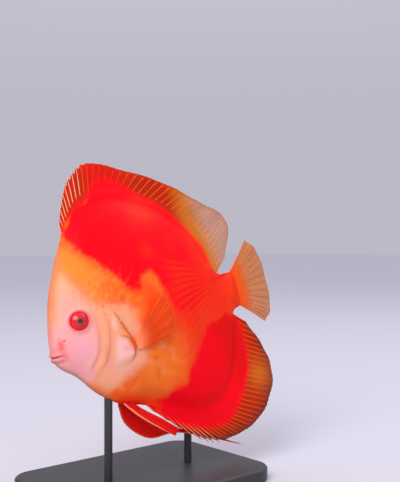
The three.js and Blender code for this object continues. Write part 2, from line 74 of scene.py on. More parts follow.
# Outline of the fleshy body in the middle plane, from the mouth over the back
SNOUT = [(0.8, -1), (1.8, 5), (3, 11), (5.4, 20), (9, 30), (14.4, 40), (20, 49.5)]
DORSAL_BASE = [
    (25, 57), (30, 64), (36.4, 69), (44, 71.7), (52, 73.4), (62, 73.5), (72, 70),
    (82, 65.5), (92, 59), (100, 51), (107, 42), (112, 32), (116, 22), (120, 14.5),
]
TAIL_END = [(126, 12), (132, 12.5), (132.5, 2), (132, -8.5), (128.5, -9)]
ANAL_BASE = [
    (124, -12), (119.5, -23), (116, -33), (111.5, -44), (105, -53), (96, -59),
    (86, -60.5), (76, -58.5), (65.5, -53.2), (55.5, -46.8), (46, -41.5),
]
BELLY = [
    (39, -38.8), (32, -36), (25, -30.7), (19, -24.8), (14.5, -18.5), (10.5, -13.6), (5, -8.9), (1.6, -4.6),
]
OUTLINE = SNOUT + DORSAL_BASE + TAIL_END + ANAL_BASE + BELLY
DORSAL_START = len(SNOUT)
ANAL_START = len(SNOUT) + len(DORSAL_BASE) + len(TAIL_END)
HALF_WIDTHS = [
    (0.6, 0.5), (2, 2.9), (5, 5.2), (10, 7.8), (16, 9.8), (24, 12), (34, 14), (48, 15),
    (62, 14.4), (76, 12.4), (90, 9.6), (102, 7.2), (112, 5.4), (122, 3.9), (134, 2.6),
]
FIN_ROOT_HALF = 1.08
TAIL_STEM = {"taper": (126, 132.6), "half": 0.6}
FULLNESS = {"bare": 0.6, "finned": 0.86}
LOOP_POINTS = 1600
TABLE_STEP = 0.25
FIN_STARTS = {"back": (18, 30), "below": (38, 52), "heights": (-16, 20)}

# Fin margins, one point for each point of the base that carries them
DORSAL_MARGIN = [
    (26, 63.5), (31.5, 75.5), (39.5, 86.5), (50.5, 93.2), (62, 91.5), (75, 86), (88.5, 80),
    (101, 73), (112, 65.5), (123, 57), (132, 51.5), (138.5, 45), (139, 35), (131, 21),
]
ANAL_MARGIN = [
    (133, -20), (139.5, -36), (141.5, -48), (140, -58.5), (134, -68), (125, -75.5),
    (113, -79.4), (101, -79.8), (88.5, -78), (73, -69.5), (50, -46.5),
]

# Tail fin and paired fins: their edges, and the waves of all fins
CAUDAL_ROOT = [(131, -7.6), (131.4, 2), (131, 11.6)]
CAUDAL_MARGIN = [(150.5, -24), (158, -17), (161, 2), (159.5, 20), (152.5, 28)]
CAUDAL_WAVE = {"sway": 2.2, "ripple": 0.3, "ripples": 9}
MEDIAN_WAVE = {"sways": 2.2, "ripple": 0.35, "ripples": 17, "uneven": 0.4, "bends": 9}
MARGIN_DIP = 0.008
PECTORAL = {
    "root": (43.4, 13.2, -7.6), "height": 6, "top": 0.86, "spread": 0.95, "length": 28.5, "shorter": 10,
    "reach": 0.95, "lean": 0.34, "curl": 0.1, "billow": 1.2, "ripple": 0.25, "ripples": 7,
}
PELVIC_LEFT = {
    "leading": [(32.3, 2.4, -35.5), (38.5, 4.5, -45), (46.5, 6.5, -54), (54.3, 8, -61.7)],
    "trailing": [(37.5, 2.2, -37.6), (43.5, 3.6, -44), (51.5, 5, -51.5), (59.5, 6.2, -60)],
    "rows": 40,
}
PELVIC_RIGHT = {
    "leading": [(32.3, 2.4, -35.5), (34.5, 4, -48), (46.5, 4.6, -60), (67.5, 4.3, -65), (104.7, 4.5, -86)],
    "trailing": [(37.5, 2.2, -37.6), (44.5, 3.4, -46), (56, 4.2, -57), (73, 4.3, -66), (105.7, 4.5, -86.4)],
    "rows": 80,
}
PELVIC_BILLOW = 0.5

# Make of each fin: its rays, half thicknesses of its sheet, radii of the rays and splits of the mesh
MEDIAN_HALF = {"root": 1.15, "membrane": 0.13, "fade": 0.45}
MEDIAN_RADII = {"spine": (0.62, 0.26), "soft": (0.5, 0.24), "taper": 0.7}
DORSAL = {
    "start": DORSAL_START, "margin": DORSAL_MARGIN, "sway": 1.6, "notch": 0.1,
    "rays": 40, "spines": 9, "spines_first": True, "branch": 0.74, "spine_tip": 1.6,
    "half": MEDIAN_HALF, "radii": MEDIAN_RADII, "splits": 8, "rows": 40,
}
ANAL = {
    "start": ANAL_START, "margin": ANAL_MARGIN, "sway": -1.4, "notch": 0.1,
    "rays": 37, "spines": 8, "spines_first": False, "branch": 0.74, "spine_tip": 1.6,
    "half": MEDIAN_HALF, "radii": MEDIAN_RADII, "splits": 8, "rows": 40,
}
CAUDAL_MAKE = {
    "rays": 16, "spines": 0, "spines_first": True, "branch": 0.4, "spine_tip": 0.6,
    "half": {"root": 1.15, "membrane": 0.18, "fade": 0.3},
    "radii": {"soft": (0.5, 0.13), "taper": 0.6}, "splits": 10, "rows": 36,
}
PECTORAL_MAKE = {
    "rays": 12, "spines": 1, "spines_first": True, "branch": 0.8, "spine_tip": 0.6,
    "half": {"root": 0.9, "membrane": 0.13, "fade": 0.3},
    "radii": {"spine": (0.36, 0.16), "soft": (0.36, 0.16), "taper": 0.7}, "splits": 10, "rows": 30,
}
PELVIC_MAKE = {
    "rays": 6, "spines": 1, "spines_first": True, "branch": 0.7, "spine_tip": 0.6,
    "half": {"root": 0.9, "membrane": 0.2, "fade": 0.3},
    "radii": {"spine": (0.75, 0.16), "soft": (0.4, 0.16), "taper": 1}, "splits": 12,
}
MARGIN_THINNING = 0.4
ROOT_INSET = 1.6
RAY_START = 0.02
RAY_POINTS = 26
RAY_SIDES = 6
BRANCH_DRIFT = 0.15

# Lines and places of the head
GILL_LINE = [
    (29, 23), (34.2, 11.5), (37.5, 4), (40.6, -2.8), (42.2, -7.5), (41, -12.3), (37, -17), (31, -22),
    (24.5, -27),
]
CHEEK_LINE = [(23.6, 15), (24.2, 7), (23.6, 0), (22, -6), (18, -12)]
PLATE_LINE = [(29, 15), (30, 7), (29.4, 0), (28, -6), (24.8, -12), (19.5, -17)]
LATERAL_LINE = [(38, 16), (52, 27), (70, 30), (88, 24), (104, 12), (118, 4), (130, 2.5)]
MOUTH_LINE = [(-3, -1.1), (2.5, -1.2), (4.6, -1.5), (6.6, -2.1)]
JAW_FOLD = [(2.6, 2.6), (4.8, 1.6), (6.6, -0.6), (7.8, -3.4)]
GILL_INSET = [(35, -0.5), (38, -2), (40, -4), (41, -7), (41.3, -10.5)]
NOSTRIL = (7, 5.4)
EYE = (16.2, 13)
EYE_RADIUS = 5.2
EYE_DEPTH = 3.4
EYE_SINK = 1.6
EYE_DOME = {"height": 0.35, "width": 2.6}
EYE_ROWS = 64
EYE_COLUMNS = 96

# Heights, depths and widths of the relief
GILL_LIFT = {"height": 0.9, "reach": 7, "dip": 0.6, "dip_reach": 2.4}
CHEEK_SWELL = {"middle": (14, -1), "height": 0.5, "reach": 7}
CHEEK_FOLDS = [
    {"line": CHEEK_LINE, "groove": 0.15, "width": 0.7, "plump": 0.25, "ahead": 1.8, "reach": 1.6},
    {"line": PLATE_LINE, "groove": 0.17, "width": 0.7, "plump": 0.3, "ahead": 2, "reach": 1.8},
]
EYE_RIM = {"height": 0.55, "gap": 0.55, "width": 0.9}
EYE_SOCKET = {"depth": 3.2, "floor": 1.6, "edge": 0.25}
NOSTRIL_PIT = {"depth": 0.9, "width": 0.55, "ring": 0.2, "ring_radius": 1.2, "ring_width": 0.5}
UPPER_LIP = {"height": 0.85, "above": 1.15, "width": 0.95, "corner": (3.5, 6.5)}
LOWER_LIP = {"height": 0.75, "above": -1.35, "width": 1.0, "corner": (3, 6)}
MOUTH_SLIT = {"height": -0.65, "above": 0, "width": 0.3, "corner": (2.4, 4.6)}
CHIN_GROOVE = {"depth": 0.35, "below": 3.4, "width": 0.6}
JAW_GROOVE = {"depth": 0.3, "width": 0.5}
LATERAL_GROOVE = {"depth": 0.16, "width": 0.45}

# Skin mesh
SKIN_CENTRE = (34, 4)
SKIN_SECTORS = 420
SKIN_RINGS = 112
SKIN_CROWDING = (0.4, 0.15)
RIM_CLOSED = 1e-6
WELD_REACH = 1e-7

# Stage, in metres; lights and camera are placed to the right of, above and behind the camera's view
FLOOR_HALF = 6.0
STAGE_MIDDLE = Vector((0, 0, 0.1))
LAMP_SIZE = 0.8
KEY_LAMP = {"right": -0.4, "up": 0.8, "back": 0.95}
BACK_LAMP = {"right": 0.7, "up": 1.1, "back": -0.5}
SKY_RISE = {"from": 0.12, "to": 0.9}


def smooth(value, low, high):
    share = np.clip((value - low) / (high - low), 0, 1)
    return share * share * (3 - 2 * share)


def bump(distance, width):
    return np.exp(-((distance / width) ** 2))


def spot(x, z, middle, reach, stretch=(1, 1)):
    """A soft round patch, or an oval one where it is stretched."""
    return bump(np.hypot((x - middle[0]) / stretch[0], (z - middle[1]) / stretch[1]), reach)


def mix(a, b, share):
    return a + (b - a) * share


def curve_at(points, t, closed=False):
    """Points of a Catmull-Rom curve through the given ones, t from 0 to 1 over its stations."""
    points = np.asarray(points, float)
    if closed:
        padded = np.vstack([points[-1:], points, points[:2]])
        spans = len(points)
    else:
        padded = np.vstack([2 * points[:1] - points[1:2], points, 2 * points[-1:] - points[-2:-1]])
        spans = len(points) - 1
    place = np.clip(np.asarray(t, float), 0, 1) * spans
    index = np.minimum(place.astype(int), spans - 1)
    f = (place - index)[..., None]
    p0, p1, p2, p3 = (padded[index + k] for k in range(4))
    bend = 2 * p0 - 5 * p1 + 4 * p2 - p3
    twist = -p0 + 3 * p1 - 3 * p2 + p3
    return 0.5 * (2 * p1 + (p2 - p0) * f + bend * f**2 + twist * f**3)


def to_part(points):
    """Turns points of the fish's frame into metres in the part's frame."""
    return (np.asarray(points) @ np.array(TILT).T + np.array(MOUTH_TIP)) * MM


# Shape of the body
body_loop = curve_at(OUTLINE, np.linspace(0, 1, LOOP_POINTS, endpoint=False), closed=True)


def height_table(pick, loop):
    """Highest or lowest z of the outline at each x."""
    xs = np.arange(0.5, TAIL_STEM["taper"][1], TABLE_STEP)
    heights = np.full(len(xs), np.nan)
    ends = np.vstack([loop, loop[:1]])
    for (ax, az), (bx, bz) in zip(ends[:-1], ends[1:]):
        if ax == bx:
            continue
        inside = (xs >= min(ax, bx)) & (xs <= max(ax, bx))
        z = az + (bz - az) * (xs[inside] - ax) / (bx - ax)
        heights[inside] = np.where(np.isnan(heights[inside]), z, pick(heights[inside], z))
    known = ~np.isnan(heights)
    return xs[known], heights[known]


back_table = height_table(np.maximum, body_loop[: LOOP_POINTS // 2])
belly_table = height_table(np.minimum, body_loop)


def thickest_at(x):
    """Half width of the body at its middle height, as a smooth curve through the given ones."""
    xs, widths = np.array(HALF_WIDTHS).T
    slopes = np.gradient(widths, xs)
    index = np.clip(np.searchsorted(xs, x) - 1, 0, len(xs) - 2)
    span = xs[index + 1] - xs[index]
    t = np.clip((x - xs[index]) / span, 0, 1)
    start = (2 * t**3 - 3 * t**2 + 1) * widths[index] + (t**3 - 2 * t**2 + t) * span * slopes[index]
    return start + (3 * t**2 - 2 * t**3) * widths[index + 1] + (t**3 - t**2) * span * slopes[index + 1]


def fin_share(x, z):
    """How much the rim belongs to a fin's base, which starts further forward on the back."""
    below = smooth(x, *FIN_STARTS["below"])
    back = smooth(x, *FIN_STARTS["back"])
    return mix(below, back, smooth(z, *FIN_STARTS["heights"]))


def half_width(x, z):
    """Half width of the body: nothing at the edge of face and belly, a fin's root elsewhere."""
    top = np.interp(x, *back_table)
    bottom = np.interp(x, *belly_table)
    level = np.clip(np.abs((2 * z - top - bottom) / (top - bottom)), 0, 1)
    fin = fin_share(x, z)
    tail = smooth(x, *TAIL_STEM["taper"])
    swell = thickest_at(x) * (1 - level**2) ** mix(FULLNESS["bare"], FULLNESS["finned"], fin)
    swell = swell * mix(1, smooth(1 - level, -0.05, 0.2), fin)
    return FIN_ROOT_HALF * fin + swell * (1 - tail) + TAIL_STEM["half"] * tail * (1 - level**2)


def line_distance(x, z, line, count=90):
    """Distance to a curve, signed so that it is below zero ahead of the curve."""
    samples = curve_at(line, np.linspace(0, 1, count))
    ahead = np.gradient(samples, axis=0)
    best = np.full(np.shape(x), 1e9)
    sign = np.ones(np.shape(x))
    for (px, pz), (tx, tz) in zip(samples, ahead):
        distance = np.hypot(x - px, z - pz)
        closer = distance < best
        best = np.where(closer, distance, best)
        side = (x - px) * tz - (z - pz) * tx
        sign = np.where(closer, np.where(side > 0, -1.0, 1.0), sign)
    return best * sign


# Relief of the skin
def gill_relief(x, z):
    """The gill cover stands up towards its edge, and the skin behind the edge dips."""
    across = line_distance(x, z, GILL_LINE)
    cover = 1 - smooth(across, -0.3, 0.35)
    lifted = GILL_LIFT["height"] * cover * bump(np.minimum(across, 0), GILL_LIFT["reach"])
    dip = GILL_LIFT["dip"] * (1 - cover) * bump(across, GILL_LIFT["dip_reach"])
    along = (1 - smooth(z, 6, 16)) * smooth(z, -17, -11)
    return along * (lifted - dip)


def cheek_relief(x, z):
    """The swell of the cheek and the folds of its plates: a groove each, plump ahead of it."""
    along = smooth(z, -16, -11) * (1 - smooth(z, 9, 14))
    relief = CHEEK_SWELL["height"] * spot(x, z, CHEEK_SWELL["middle"], CHEEK_SWELL["reach"])
    for fold in CHEEK_FOLDS:
        across = line_distance(x, z, fold["line"])
        groove = fold["groove"] * bump(across, fold["width"])
        plump = fold["plump"] * bump(across + fold["ahead"], fold["reach"])
        relief = relief + along * (plump - groove)
    return relief


def eye_relief(x, z):
    """A raised rim round the sunk socket of the eye."""
    from_eye = np.hypot(x - EYE[0], z - EYE[1])
    rim = EYE_RIM["height"] * bump(from_eye - EYE_RADIUS - EYE_RIM["gap"], EYE_RIM["width"])
    floor = EYE_RADIUS - EYE_SOCKET["floor"]
    edge = EYE_RADIUS - EYE_SOCKET["edge"]
    return rim - EYE_SOCKET["depth"] * (1 - smooth(from_eye, floor, edge))


def nostril_relief(x, z):
    """A small pit with a raised ring."""
    pit = NOSTRIL_PIT
    from_nostril = np.hypot(x - NOSTRIL[0], z - NOSTRIL[1])
    ring = pit["ring"] * bump(from_nostril - pit["ring_radius"], pit["ring_width"])
    return ring - pit["depth"] * bump(from_nostril, pit["width"])


def above_mouth(x, z):
    """Height over the line of the mouth."""
    return z - np.interp(x, *np.array(MOUTH_LINE).T)


def mouth_relief(x, z):
    """Both lips, the slit between them, the groove of the chin and the fold of the jaw."""
    above = above_mouth(x, z)
    edge_shade = bump(above + CHIN_GROOVE["below"], CHIN_GROOVE["width"])
    relief = -CHIN_GROOVE["depth"] * edge_shade * smooth(x, 0.8, 2.5) * (1 - smooth(x, 4, 7))
    for fold in (UPPER_LIP, LOWER_LIP, MOUTH_SLIT):
        within = 1 - smooth(x, *fold["corner"])
        relief = relief + fold["height"] * bump(above - fold["above"], fold["width"]) * within
    return relief - JAW_GROOVE["depth"] * bump(line_distance(x, z, JAW_FOLD), JAW_GROOVE["width"])


def skin_relief(x, z):
    """How far the finished skin stands out of the plain body."""
    relief = -LATERAL_GROOVE["depth"] * bump(line_distance(x, z, LATERAL_LINE), LATERAL_GROOVE["width"])
    for part in (gill_relief, cheek_relief, eye_relief, nostril_relief, mouth_relief):
        relief = relief + part(x, z)
    return relief


# Markings, from colours given as display values
def linear(colour):
    """Display values of a colour as light."""
    c = np.asarray(colour, float)
    return np.where(c <= 0.04045, c / 12.92, ((c + 0.055) / 1.055) ** 2.4)


def wander(x, z, size, seed, waves=7):
    """A soft seeded unevenness, mostly between -1 and 1."""
    rng = np.random.default_rng(seed)
    total = np.zeros(np.shape(x))
    for _ in range(waves):
        angle = rng.uniform(0, 2 * math.pi)
        wave = size * rng.uniform(0.6, 1.7)
        phase = rng.uniform(0, 2 * math.pi)
        total = total + np.sin(2 * math.pi * (x * math.cos(angle) + z * math.sin(angle)) / wave + phase)
    return total / (0.6 * waves)


def zone(x, z, corners, soft):
    """1 inside a closed shape and 0 outside it, with a soft edge."""
    inside = np.zeros(np.shape(x), bool)
    nearest = np.full(np.shape(x), 1e9)
    for (ax, az), (bx, bz) in zip(corners, corners[1:] + corners[:1]):
        crosses = (az > z) != (bz > z)
        at = ax + (bx - ax) * (z - az) / (bz - az if bz != az else 1e-9)
        inside ^= crosses & (x < at)
        t = np.clip(((x - ax) * (bx - ax) + (z - az) * (bz - az)) / ((bx - ax) ** 2 + (bz - az) ** 2), 0, 1)
        nearest = np.minimum(nearest, np.hypot(x - ax - t * (bx - ax), z - az - t * (bz - az)))
    return smooth(np.where(inside, nearest, -nearest), -soft, soft)


FACE_ZONE = [
    (-6, -4), (-2, 6), (3, 13), (9, 17), (17, 19), (22, 17), (23, 6), (22, -4), (19, -12), (16, -20),
    (2, -14),
]
PEACH_ZONE = [
    (0, 14), (4, 24), (9, 38), (15, 44), (19, 38), (21, 27), (26, 19), (33, 16), (43, 15), (46.5, 8),
    (46, -4), (49, -11), (48, -18), (38, -21), (31, -26), (24, -27), (12, -18), (14, 2),
]
YELLOW_ZONE = [(16, 44), (19, 33), (23, 22), (28, 19), (36, 20), (40, 26), (35, 33), (29, 42), (24, 49)]
RED_BACK_ZONE = [
    (24.5, 58), (25.2, 48), (30.2, 44.3), (33.5, 36), (39.3, 30.5), (44.3, 24.3), (49.3, 18.5), (54, 19),
    (57, 26), (63, 27.5), (68, 22), (72, 10), (78, 2), (88, -1), (98, 3), (104, 12), (110, 20), (117, 22),
    (115.5, 31), (111, 38.7), (104, 48.7), (96, 58.4), (89, 65), (79, 71.5), (70, 79), (62, 83.5), (54, 82),
    (47, 76), (40, 72.5), (33.5, 67.5), (27, 61.5),
]
RED_LOW_ZONE = [
    (50, -42), (62, -39.3), (72.7, -37.3), (76, -30.7), (82.7, -24), (89.3, -17.3), (96, -13), (103, -11.5),
    (113, -10.7), (126, -13), (128, -22), (128, -33), (125, -45.7), (116, -59), (106, -68), (96, -71.5),
    (83, -69), (69.3, -62.5), (59, -55), (50, -47),
]
WHITE_PATCH = [(32.5, -1), (35, -1.5), (38.5, -4), (40.3, -8), (39, -12), (34, -14), (30.5, -13), (31, -6)]
BROW_HEIGHTS = [-6, 6, 20, 30, 40, 50]
BROW_PLACES = [1.8, 2.6, 6, 9.6, 15, 21]
REAR_FAN = {"middle": (128, 12), "streaks": 74}


class Palette:
    """The colours of a group of settings, as linear red, green and blue."""

    def __init__(self, settings):
        for key in type(settings).__annotations__:
            value = getattr(settings, key)
            if hasattr(value, "__len__"):
                setattr(self, key, linear(value))


class Coat:
    """Colours laid one over another at points of the fish's frame."""

    def __init__(self, colour, count):
        self.colour = np.broadcast_to(colour, (count, 3)).copy()

    def lay(self, tint, share):
        share = np.broadcast_to(np.clip(share, 0, 1), len(self.colour))
        self.colour = mix(self.colour, tint, share[:, None])

    def lay_flank(self, body, red, field, v):
        """Runs the flank's paint onto a fin: all of it at the root, its red field further out."""
        self.lay(red, field)
        self.lay(body, np.maximum(smooth(field, 0.8, 1), 1 - smooth(v, 0.02, 0.12)))


def rear_fan(x, z, wavy_x):
    """The rear flank's area whose tones fan out from the tail stem, its streaks and its red share."""
    middle_x, middle_z = REAR_FAN["middle"]
    turn = np.arctan2(z - middle_z, middle_x - x)
    area = smooth(wavy_x, 66, 76) * smooth(turn, -1.2, -0.85) * (1 - smooth(turn, 0.3, 0.42))
    streaks = np.sin(turn * REAR_FAN["streaks"] + 1.1 * wander(x, z, 30, 8)) * 0.5 + 0.5
    return area, streaks, smooth(turn, -0.55, -0.1)


def paint_ground(coat, colours, x, z, wavy_x):
    """Orange flank with deeper and lighter clouds, scarlet towards the rear, and an amber patch low behind
    the gill that is partly painted light.
    """
    coat.lay(colours.deep_orange, 0.6 * smooth(wander(x, z, 24, 11), -0.3, 0.8))
    coat.lay(colours.amber, 0.5 * smooth(wander(x, z, 9, 12), 0.1, 1) * (1 - smooth(x, 60, 74)))
    coat.lay(colours.scarlet, smooth(wavy_x, 66, 86) * 0.7)
    coat.lay(colours.scarlet, 0.5 * spot(x, z, (64, 8), 9, (1.2, 1)))
    # Amber patch low behind the gill: partly the flank's own lighter colour, partly painted light that makes
    # up for the shade where the flank turns down.
    coat.lay(colours.amber, 0.55 * spot(x, z, (53, -21), 13, (1.1, 1)))


def paint_fields(coat, colours, x, z, wavy_x, wavy_z):
    """The saturated red fields of the back and the low rear, and the streaked fan between them."""
    fan, streaks, reddened = rear_fan(x, z, wavy_x)
    coat.lay(colours.red, fan * 0.9 * reddened)
    coat.lay(colours.red, zone(wavy_x, wavy_z, RED_BACK_ZONE, 2))
    soft = spot(x, z, (78, 57), 6, (1.7, 1)) + 0.6 * spot(x, z, (68, 38), 4, (1.6, 1))
    coat.lay(colours.scarlet, 0.8 * soft * smooth(wander(x, z, 12, 15), -0.8, 0.5))
    coat.lay(colours.scarlet, 0.4 * smooth(wander(x, z, 30, 16), 0.1, 0.9) * smooth(x, 56, 76))
    rear = smooth(x, 92, 112) * (1 - smooth(z, 36, 60)) * smooth(z, -12, -4)
    coat.lay(colours.scarlet, 0.7 * rear)
    coat.lay(colours.scarlet, 0.8 * fan * streaks * smooth(x, 70, 84))
    coat.lay(colours.blood, 0.45 * fan * (1 - streaks) * smooth(x, 74, 90))
    coat.lay(colours.deep_orange, 0.5 * spot(x, z, (66, -3), 9, (0.8, 1)))
    low = zone(wavy_x, wavy_z, RED_LOW_ZONE, 2)
    coat.lay(colours.red, low)
    coat.lay(colours.blood, low * 0.75 * smooth(x + 0.5 * z, 80, 100))


def paint_forehead(coat, colours, x, z, wavy_x, wavy_z):
    """Peach forehead, amber nape with darker and lighter flecks, and a pale belly below the gill."""
    coat.lay(colours.peach, zone(wavy_x, wavy_z, PEACH_ZONE, 4))
    coat.lay(colours.amber, 0.9 * zone(wavy_x, wavy_z, YELLOW_ZONE, 4.4))
    nape = spot(x, z, (31, 22), 10, (1.3, 1))
    coat.lay(colours.deep_orange, 0.55 * nape * smooth(wander(x, z, 3.6, 21), 0.1, 0.9))
    coat.lay(colours.peach, 0.35 * nape * smooth(wander(x, z, 3.8, 22), 0.1, 0.9))
    below_gill = smooth(x, 44, 50) * spot(x, z, (56, -18), 12, (1.3, 1))
    coat.lay(colours.peach, 0.3 * below_gill * smooth(wander(x, z, 8, 23), 0, 0.9))
    coat.lay(colours.pink, 0.6 * spot(x, z, (14, 21), 8))
    coat.lay(colours.deep_orange, 0.5 * spot(x, z, (35, 26), 4, (1.3, 1)))


def paint_face(coat, colours, x, z, wavy_x, wavy_z):
    """Pink face with a cooler cheek, the rim of the brow, painted shade along the edge of the face at brow
    and chin, and the rim of the belly.
    """
    coat.lay(colours.pink, 0.95 * zone(wavy_x, wavy_z, FACE_ZONE, 3.2))
    coat.lay(colours.lilac, 0.55 * spot(x, z, (15, -2), 7, (0.8, 1)))
    behind = x - np.interp(z, BROW_HEIGHTS, BROW_PLACES)
    coat.lay(colours.rim, 0.85 * smooth(z, 8, 26) * (1 - smooth(behind, -1, 3.4)) * (1 - smooth(z, 50, 58)))
    # Painted shade along the front edge of the face.
    coat.lay(colours.edge_shade, 0.55 * (1 - smooth(behind, -1.5, 1)) * (1 - smooth(z, 44, 52)))
    above = z - np.interp(x, *belly_table)
    # Painted shade along the lower edge of the face at the chin.
    coat.lay(colours.edge_shade, 0.5 * (1 - smooth(above, 0, 2.5)) * (1 - smooth(x, 22, 28)))
    coat.lay(colours.scarlet, (1 - smooth(above, 1, 8)) * smooth(x, 24, 34) * (1 - smooth(x, 52, 58)))


def paint_gill(coat, colours, x, z):
    """Pale patches of the gill cover, a painted highlight in amber on its raised edge, painted shade in the
    dip behind that edge, and the inset behind it.
    """
    coat.lay(colours.white, 0.7 * zone(x, z, WHITE_PATCH, 2.4))
    coat.lay(colours.white, 0.6 * spot(x, z, (32.6, 6), 2, (0.5, 1.6)))
    across = line_distance(x, z, GILL_LINE)
    # along: the stretch of the cover's edge that gets painted shade; middle: the part of it that also gets a
    # painted highlight.
    along = smooth(z, -16, -12) * (1 - smooth(z, 9, 15))
    middle = smooth(z, -11, -7) * (1 - smooth(z, 3, 8))
    # Painted highlight: amber just ahead of the edge, on the raised cover.
    coat.lay(colours.amber, 0.8 * along * middle * bump(across + 1.1, 1.2))
    # Painted shade: the dark gill colour in the dip just behind the raised edge.
    coat.lay(colours.gill, 0.85 * along * bump(across - 0.1, 0.6))
    inset = smooth(x, 34, 36) * smooth(z, -11.5, -9.5) * (1 - smooth(z, -0.5, 2))
    coat.lay(colours.scarlet, 0.7 * inset * spot(x, z, (41.3, -5.5), 3.2, (0.7, 1)))
    coat.lay(colours.gill, 0.6 * inset * bump(line_distance(x, z, GILL_INSET), 0.5))
    coat.lay(colours.blush, 0.3 * spot(x, z, (37, -8), 1.8))


def paint_features(coat, colours, x, z):
    """Painted shade in the cheek folds and in the slit of the mouth, and tones of the nostril, jaw, throat
    and eye rim.
    """
    # Painted shade along the folds of the cheek plates.
    coat.lay(colours.fold, 0.3 * bump(line_distance(x, z, CHEEK_LINE), 0.8))
    coat.lay(colours.fold, 0.3 * bump(line_distance(x, z, PLATE_LINE), 0.9))
    coat.lay(colours.blush, 0.9 * spot(x, z, (4.9, 4), 2, (0.75, 1.5)))
    coat.lay(colours.blush, 0.3 * bump(line_distance(x, z, JAW_FOLD) + 0.8, 1))
    coat.lay(colours.rose, 0.7 * spot(x, z, (34, -16), 5.5, (1.6, 0.9)))
    # Painted shade on the cheek between its two folds.
    coat.lay(colours.fold, 0.35 * spot(x, z, (26, -8), 4, (0.5, 1.3)))
    from_eye = np.hypot(x - EYE[0], z - EYE[1])
    coat.lay(colours.blush, 0.75 * bump(from_eye - EYE_RADIUS, 0.7))
    above = above_mouth(x, z)
    coat.lay(colours.blush, 0.35 * (1 - smooth(x, 5, 8)) * bump(above, 3))
    # Painted shade in the slit between the lips.
    coat.lay(colours.mouth, 0.8 * (1 - smooth(x, 2.6, 4.4)) * bump(above, 0.34))


def paint_body(colours, points):
    """Colour of the skin, and of the fins near their bases."""
    x, z = points[:, 0], points[:, 2]
    wavy_x = x + 1.3 * wander(x, z, 12, 3) + 0.6 * wander(x, z, 4, 5)
    wavy_z = z + 1.3 * wander(x, z, 12, 4) + 0.6 * wander(x, z, 4, 6)
    coat = Coat(colours.orange, len(points))
    paint_ground(coat, colours, x, z, wavy_x)
    paint_fields(coat, colours, x, z, wavy_x, wavy_z)
    paint_forehead(coat, colours, x, z, wavy_x, wavy_z)
    paint_face(coat, colours, x, z, wavy_x, wavy_z)
    paint_gill(coat, colours, x, z)
    paint_features(coat, colours, x, z)
    coat.lay(colours.gill, 0.45 * spot(x, z, (53.5, -18), 1.3))
    coat.lay(colours.gill, 0.4 * spot(x, z, (54, -26.5), 1.8, (0.7, 1.6)))
    return coat.colour


# Meshes
def set_paint(mesh, colours):
    """Keeps one colour for each point, which the materials read."""
    rgba = np.ones((len(mesh.vertices), 4))
    rgba[:, :3] = colours
    mesh.attributes.new("paint", "FLOAT_COLOR", "POINT").data.foreach_set("color", rgba.ravel())


def set_values(mesh, name, values):
    """Keeps one number for each point under the given name."""
    values = np.broadcast_to(values, len(mesh.vertices)).astype(float)
    mesh.attributes.new(name, "FLOAT", "POINT").data.foreach_set("value", values)


def link_object(name, data):
    piece = bpy.data.objects.new(name, data)
    bpy.context.scene.collection.objects.link(piece)
    return piece


def make_piece(name, points, faces, material, colours=None, clear=None):
    mesh = bpy.data.meshes.new(name)
    mesh.from_pydata(to_part(points).tolist(), [], faces)
    mesh.update()
    if colours is not None:
        set_paint(mesh, colours)
    if clear is not None:
        set_values(mesh, "clear", clear)
    mesh.polygons.foreach_set("use_smooth", [True] * len(mesh.polygons))
    mesh.materials.append(material)
    return link_object(name, mesh)


def keep(piece, slot, *nodes):
    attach(piece, "root")
    if nodes:
        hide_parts(*nodes)


def weld(piece, distance):
    build = bmesh.new()
    build.from_mesh(piece.data)
    bmesh.ops.remove_doubles(build, verts=build.verts, dist=distance)
    bmesh.ops.dissolve_degenerate(build, edges=build.edges, dist=distance)
    build.to_mesh(piece.data)
    build.free()


def outward_faces(piece):
    build = bmesh.new()
    build.from_mesh(piece.data)
    bmesh.ops.recalc_face_normals(build, faces=build.faces)
    build.to_mesh(piece.data)
    build.free()


def skin_grid():
    """Places x, z and half widths of the skin's rings, with sectors closer together at the mouth."""
    cx, cz = SKIN_CENTRE
    turn = np.linspace(0, 2 * math.pi, SKIN_SECTORS, endpoint=False)
    angle = turn + SKIN_CROWDING[0] * np.sin(turn) - SKIN_CROWDING[1] * np.sin(2 * turn)
    loop_angle = np.arctan2(body_loop[:, 1] - cz, body_loop[:, 0] - cx) % (2 * math.pi)
    order = np.argsort(loop_angle)
    loop_reach = np.hypot(body_loop[:, 0] - cx, body_loop[:, 1] - cz)[order]
    reach = np.interp(angle % (2 * math.pi), loop_angle[order], loop_reach, period=2 * math.pi)
    share = np.sin(np.linspace(0, 1, SKIN_RINGS + 1)[1:] * math.pi / 2)
    x = cx + share[:, None] * reach * np.cos(angle)
    z = cz + share[:, None] * reach * np.sin(angle)
    width = half_width(x, z)
    width[-1] = FIN_ROOT_HALF * fin_share(x[-1], z[-1])
    return x, z, width


